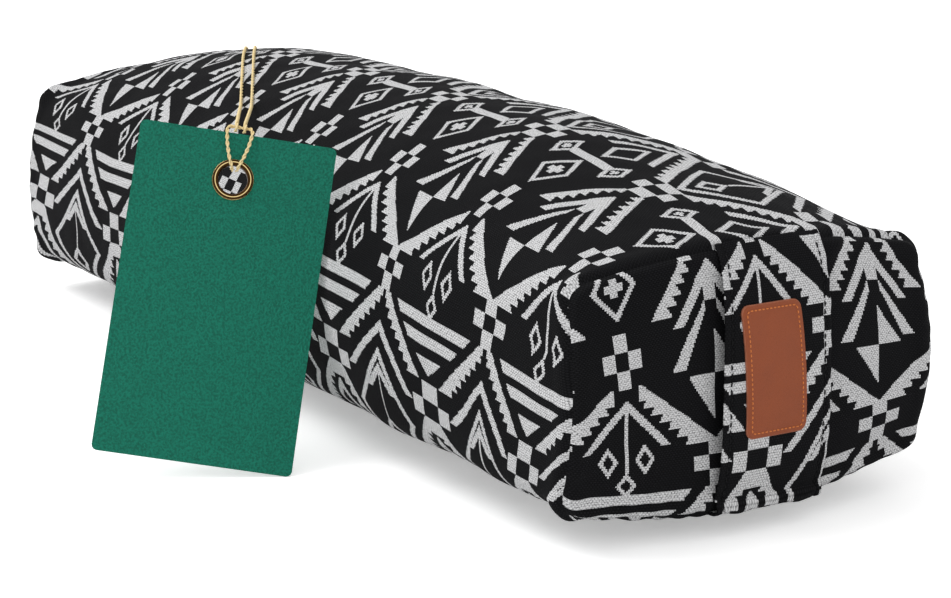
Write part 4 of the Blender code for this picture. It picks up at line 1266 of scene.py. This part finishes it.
class BOLSTER_OT_studio(bpy.types.Operator):
    """Adds the floor, the soft lamps, the white surround and the camera."""

    bl_idname = "bolster.studio"
    bl_label = "Studio and Camera"

    def execute(self, context):
        scene = context.scene
        camera = bpy.data.objects.new("studio_camera", bpy.data.cameras.new("studio_camera"))
        scene.collection.objects.link(camera)
        azimuth, elevation, roll = (math.radians(a) for a in CAMERA_ANGLES)
        reach, rise = math.cos(elevation), math.sin(elevation)
        back = Vector((math.sin(azimuth) * reach, -math.cos(azimuth) * reach, rise))
        side = Vector((0, 0, 1)).cross(back).normalized()
        top = back.cross(side)
        turned_side = side * math.cos(roll) + top * math.sin(roll)
        turned_top = top * math.cos(roll) - side * math.sin(roll)
        turn = Matrix((turned_side, turned_top, back)).transposed().to_4x4()
        camera.matrix_world = Matrix.Translation(CAMERA_PLACE) @ turn
        camera.data.sensor_width = SENSOR_WIDTH
        camera.data.lens = CAMERA_FOCAL / PHOTO_SIZE[0] * SENSOR_WIDTH
        camera.data.clip_start = 0.05
        scene.camera = camera

        floor_points = np.array([[-6, -6, 0], [6, -6, 0], [6, 6, 0], [-6, 6, 0]], float)
        floor = add_mesh("studio_floor", floor_points, [[0, 1, 2, 3]], smooth=False)
        coat(floor, self.floor_material())
        scene.world = self.surround()
        self.lamp("softbox_high", (-1.6, -2.4, 4.2), (0, 0, 0.05), (3.4, 2.8), 138.0)
        self.lamp("softbox_near", (3.4, -0.8, 2.6), (0.1, 0, 0.1), (2.4, 1.8), 6.5)
        scene.view_settings.view_transform = "Standard"
        return {"FINISHED"}

    def lamp(self, name, place, target, size, power):
        """A rectangular lamp at a place, turned to its target, with its power in watts."""
        data = bpy.data.lights.new(name, "AREA")
        data.shape = "RECTANGLE"
        data.size, data.size_y = size
        data.energy = power
        lamp = bpy.data.objects.new(name, data)
        bpy.context.scene.collection.objects.link(lamp)
        aim = (Vector(target) - Vector(place)).to_track_quat("-Z", "Y")
        lamp.matrix_world = Matrix.Translation(place) @ aim.to_matrix().to_4x4()

    def floor_material(self):
        """Seamless white paper floor: nearly matt, lifted towards white for the camera
        as an overexposed sweep is, and keeping the object's soft shadow."""
        made, tree, shader = start_material("white_paper_floor")
        fibres = noise_of(tree, place_of(tree), 40.0, 2.0)
        tone = blend_colour(tree, fibres, linear("#F8F8F8"), linear("#FBFBFB"))
        seen = add_node(tree, "ShaderNodeLightPath").outputs["Is Camera Ray"]
        inputs = {
            "Base Color": tone,
            "Roughness": 0.9,
            "Specular IOR Level": 0.1,
            "Emission Color": (1, 1, 1, 1),
            "Emission Strength": calc(tree, "MULTIPLY", seen, 0.36),
        }
        fill(tree, shader, inputs)
        return made

    def surround(self):
        """A white surround: a plain soft light, seen as white by the camera and in gloss."""
        world = bpy.data.worlds.new("white_surround")
        world.use_nodes = True
        tree = world.node_tree
        tree.nodes.clear()
        path = add_node(tree, "ShaderNodeLightPath")
        seen = calc(tree, "MAXIMUM", path.outputs["Is Camera Ray"], path.outputs["Is Glossy Ray"])
        seen = calc(tree, "MAXIMUM", seen, path.outputs["Is Transmission Ray"])
        strength = calc(tree, "MULTIPLY_ADD", seen, 0.13, 0.87)
        inputs = {"Color": (1, 1, 1, 1), "Strength": strength}
        light = add_node(tree, "ShaderNodeBackground", None, inputs)
        add_node(tree, "ShaderNodeOutputWorld", None, {"Surface": light.outputs[0]})
        return world


class BOLSTER_OT_cover(bpy.types.Operator):
    """Builds the stuffed cover with its two end panels, its seams and its zip opening."""

    bl_idname = "bolster.cover"
    bl_label = "Stuffed Cover"

    def execute(self, context):
        cover = build_cover()
        jacquard = jacquard_material(context.scene.bolster_colours)
        nodes = ("cover_wrap", "end_panel_near", "end_panel_far")
        dress(cover, jacquard, replaces=nodes)
        return {"FINISHED"}


class BOLSTER_OT_band(bpy.types.Operator):
    """Builds the carry band, its topstitching and the leather patch sewn on it."""

    bl_idname = "bolster.band"
    bl_label = "Carry Band and Patch"

    def execute(self, context):
        scene = context.scene
        line = band_path(240)
        jacquard = bpy.data.materials["jacquard_black_and_white"]
        dress(build_band(line), jacquard, replaces=("handle_band",))
        # The second colour is the painted shade between the webbing's ribs
        webbing = twill_material("black_webbing", "#1A1A1C", "#08080A", 900.0)
        dress(build_webbing(line), webbing, replaces=("handle_webbing",))
        self.topstitch(line, scene.bolster_sizes.topstitch_pitch)
        self.patch(line, scene.bolster_sizes.stitch_pitch, scene.bolster_colours)
        return {"FINISHED"}

    def topstitch(self, line, pitch):
        """A row of stitches in the sunk line inside each edge of the band."""
        total = line.steps[-1]
        begin = np.arange(pitch, total - 2 * pitch, pitch)
        begin = np.concatenate([begin, begin])
        end = begin + pitch * 0.72
        side = np.repeat([-1.0, 1.0], len(begin) // 2) * (BAND_WIDTH / 2 - BAND_EDGE)
        lifts = [BAND_THICK + band_lift(side, at, total) for at in (begin, end)]
        starts, ends = (band_place(side, *at, line) for at in zip((begin, end), lifts))
        out = band_outward((begin + end) / 2, line)
        # The second colour is the painted shade between the thread's plies
        thread = thread_material("black_sewing_thread", "#19191B", "#060607")
        place_stitches("band_topstitching", starts, ends, out, TOPSTITCH_RADIUS, thread)

    def patch(self, line, pitch, colours):
        """The leather patch with its cut edge, and the saddle stitches round it."""
        leather, edge = build_patch(line)
        face = leather_material(colours)
        dress(leather, face, replaces=("leather_patch",))
        leather.data.materials.append(cut_edge_material())
        leather.data.polygons.foreach_set("material_index", edge)
        half_w, half_h = PATCH_HALF_WIDTH - STITCH_INSET, PATCH_HALF_HEIGHT - STITCH_INSET
        loop = rounded_outline(half_w, half_h, STITCH_CORNER, LOOP_POINTS)
        count = int(round(4 * (half_w + half_h) / pitch))
        first = (np.arange(count) * LOOP_POINTS / count).astype(int)
        last = (first + LOOP_POINTS / count * 0.62).astype(int) % LOOP_POINTS
        lift = PATCH_THICK - 0.12 * MM
        starts, ends = (on_patch(loop[at], lift, line) for at in (first, last))
        out = band_outward(along_patch(loop[first], line), line)
        # The second colour is the painted shade between the thread's plies
        thread = thread_material("orange_saddle_thread", "#E08A50", "#B0602C")
        place_stitches("patch_stitching", starts, ends, out, STITCH_RADIUS, thread)


class BOLSTER_OT_tag(bpy.types.Operator):
    """Dresses the hang tag and its eyelet, and builds its two-ply twine."""

    bl_idname = "bolster.tag"
    bl_label = "Hang Tag and Twine"

    def execute(self, context):
        colours = context.scene.bolster_colours
        coat(frame["nodes"]["tag_card"], card_material(colours))
        brass = brass_material(self.eyelet_centre())
        for node in ("tag_eyelet", "tag_eyelet_washer"):
            coat(frame["nodes"][node], brass)
        self.twine(twine_material(colours))
        return {"FINISHED"}

    def eyelet_centre(self):
        """Middle of the eyelet's box, in its own coordinates."""
        mesh = frame["nodes"]["tag_eyelet"].data
        places = np.empty(len(mesh.vertices) * 3)
        mesh.vertices.foreach_get("co", places)
        places = places.reshape(-1, 3)
        return tuple((places.min(axis=0) + places.max(axis=0)) / 2)

    def twine(self, material):
        """The loop on the tag, the two strands over the cover, and their knot."""
        cover = bpy.data.objects["cushion_cover"]
        bpy.context.view_layer.update()
        thick = TWINE * MM
        loop = hitch_route()
        hitch = twisted_plies("tag_twine_loop", loop, thick, 7.5 * MM)
        dress(hitch, material, "tag", replaces=("twine_hitch",))
        self.declare(hitch, loop, "object")
        strands = {side: strand_route(cover, side) for side in (-1, 1)}
        tied = twisted_plies("tag_twine_knot", knot_route(strands[1][-1]), thick, 5.6 * MM)
        dress(tied, material, replaces=("twine_knot",))
        for side, name in ((-1, "left"), (1, "right")):
            strand = twisted_plies(f"tag_twine_{name}", strands[side], thick, 11 * MM)
            dress(strand, material, replaces=(f"twine_strand_{name}",))
            self.declare(strand, strands[side], "knot", (tied,) if side > 0 else ())

    def declare(self, obj, route, far_end, pieces=()):
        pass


def build_liner():
    """The inner cushion as the cover's own form, drawn in towards its middle."""
    places, shares = np.linspace(-1, 1, 90), np.linspace(0.04, 1, 20)
    far, wrap, near, _, _ = stuffed_rings(ring_turns(160)[:-1], places, shares)
    rings = np.concatenate([far, wrap[1:-1], near[::-1]])
    middle = np.array([0.0, 0.0, LIFT + HEIGHT / 2])
    half = np.abs(rings - middle).reshape(-1, 3).max(axis=0)
    rings = middle + (rings - middle) * (1 - LINER_INSET / half)
    rings[..., 1] = np.minimum(rings[..., 1], REAR_WALL - ZIP_DEPTH - 1.5 * MM)
    return capped("inner_cushion", rings)


class BOLSTER_OT_zip(bpy.types.Operator):
    """Builds the welts beside the zip and the inner cushion, and finishes the zip."""

    bl_idname = "bolster.zip"
    bl_label = "Zip and Inner Cushion"

    def execute(self, context):
        finishes = {
            # The second colour of each twill is the painted shade between its ribs
            "zip_tape": twill_material("black_zip_tape", "#1C1C1E", "#08080A", 1800.0),
            "zip_teeth": moulded_material("moulded_zip_teeth", "#1A1A1C", "#0C0C0D", 0.0, 0.3),
            "zip_metal": moulded_material("lacquered_zip_metal", "#2A2A2C", "#121213", 0.8, 0.25),
            "liner_cloth": twill_material("undyed_liner_cotton", "#E6DCC6", "#B8AD94", 2200.0),
        }
        jacquard = bpy.data.materials["jacquard_black_and_white"]
        for side in (-1, 1):
            dress(build_welt(side), jacquard)
        starts, ends = welt_stitches(context.scene.bolster_sizes.topstitch_pitch)
        thread = bpy.data.materials["black_sewing_thread"]
        out = np.broadcast_to([0.0, 1.0, 0.0], starts.shape)
        place_stitches("zip_topstitching", starts, ends, out, TOPSTITCH_RADIUS, thread)
        liner = ("liner_wrap", "liner_panel_near", "liner_panel_far", "husk_filling")
        cushion = build_liner()
        dress(cushion, finishes["liner_cloth"], replaces=liner)
        for part in frame["record"]["subparts"]:
            if part["material_slot"] in finishes:
                coat(frame["nodes"][part["node"]], finishes[part["material_slot"]])
        return {"FINISHED"}


class BOLSTER_PT_panel(bpy.types.Panel):
    """Buttons for the stage and each group of pieces, in the sidebar."""

    bl_idname = "BOLSTER_PT_panel"
    bl_label = "Bolster"
    bl_space_type = "VIEW_3D"
    bl_region_type = "UI"
    bl_category = "Bolster"

    def draw(self, context):
        for operator in OPERATORS:
            self.layout.operator(operator.bl_idname)


OPERATORS = (
    BOLSTER_OT_studio,
    BOLSTER_OT_cover,
    BOLSTER_OT_band,
    BOLSTER_OT_tag,
    BOLSTER_OT_zip,
)
CLASSES = (BolsterColours, BolsterSizes, *OPERATORS, BOLSTER_PT_panel)


def register():
    for item in CLASSES:
        bpy.utils.register_class(item)
    bpy.types.Scene.bolster_colours = PointerProperty(type=BolsterColours)
    bpy.types.Scene.bolster_sizes = PointerProperty(type=BolsterSizes)


def unregister():
    del bpy.types.Scene.bolster_sizes
    del bpy.types.Scene.bolster_colours
    for item in reversed(CLASSES):
        bpy.utils.unregister_class(item)


def main():
    """Builds the whole scene."""
    register()
    bpy.ops.bolster.studio()
    bpy.ops.bolster.cover()
    bpy.ops.bolster.band()
    bpy.ops.bolster.tag()
    bpy.ops.bolster.zip()


if __name__ == "__main__":
    main()
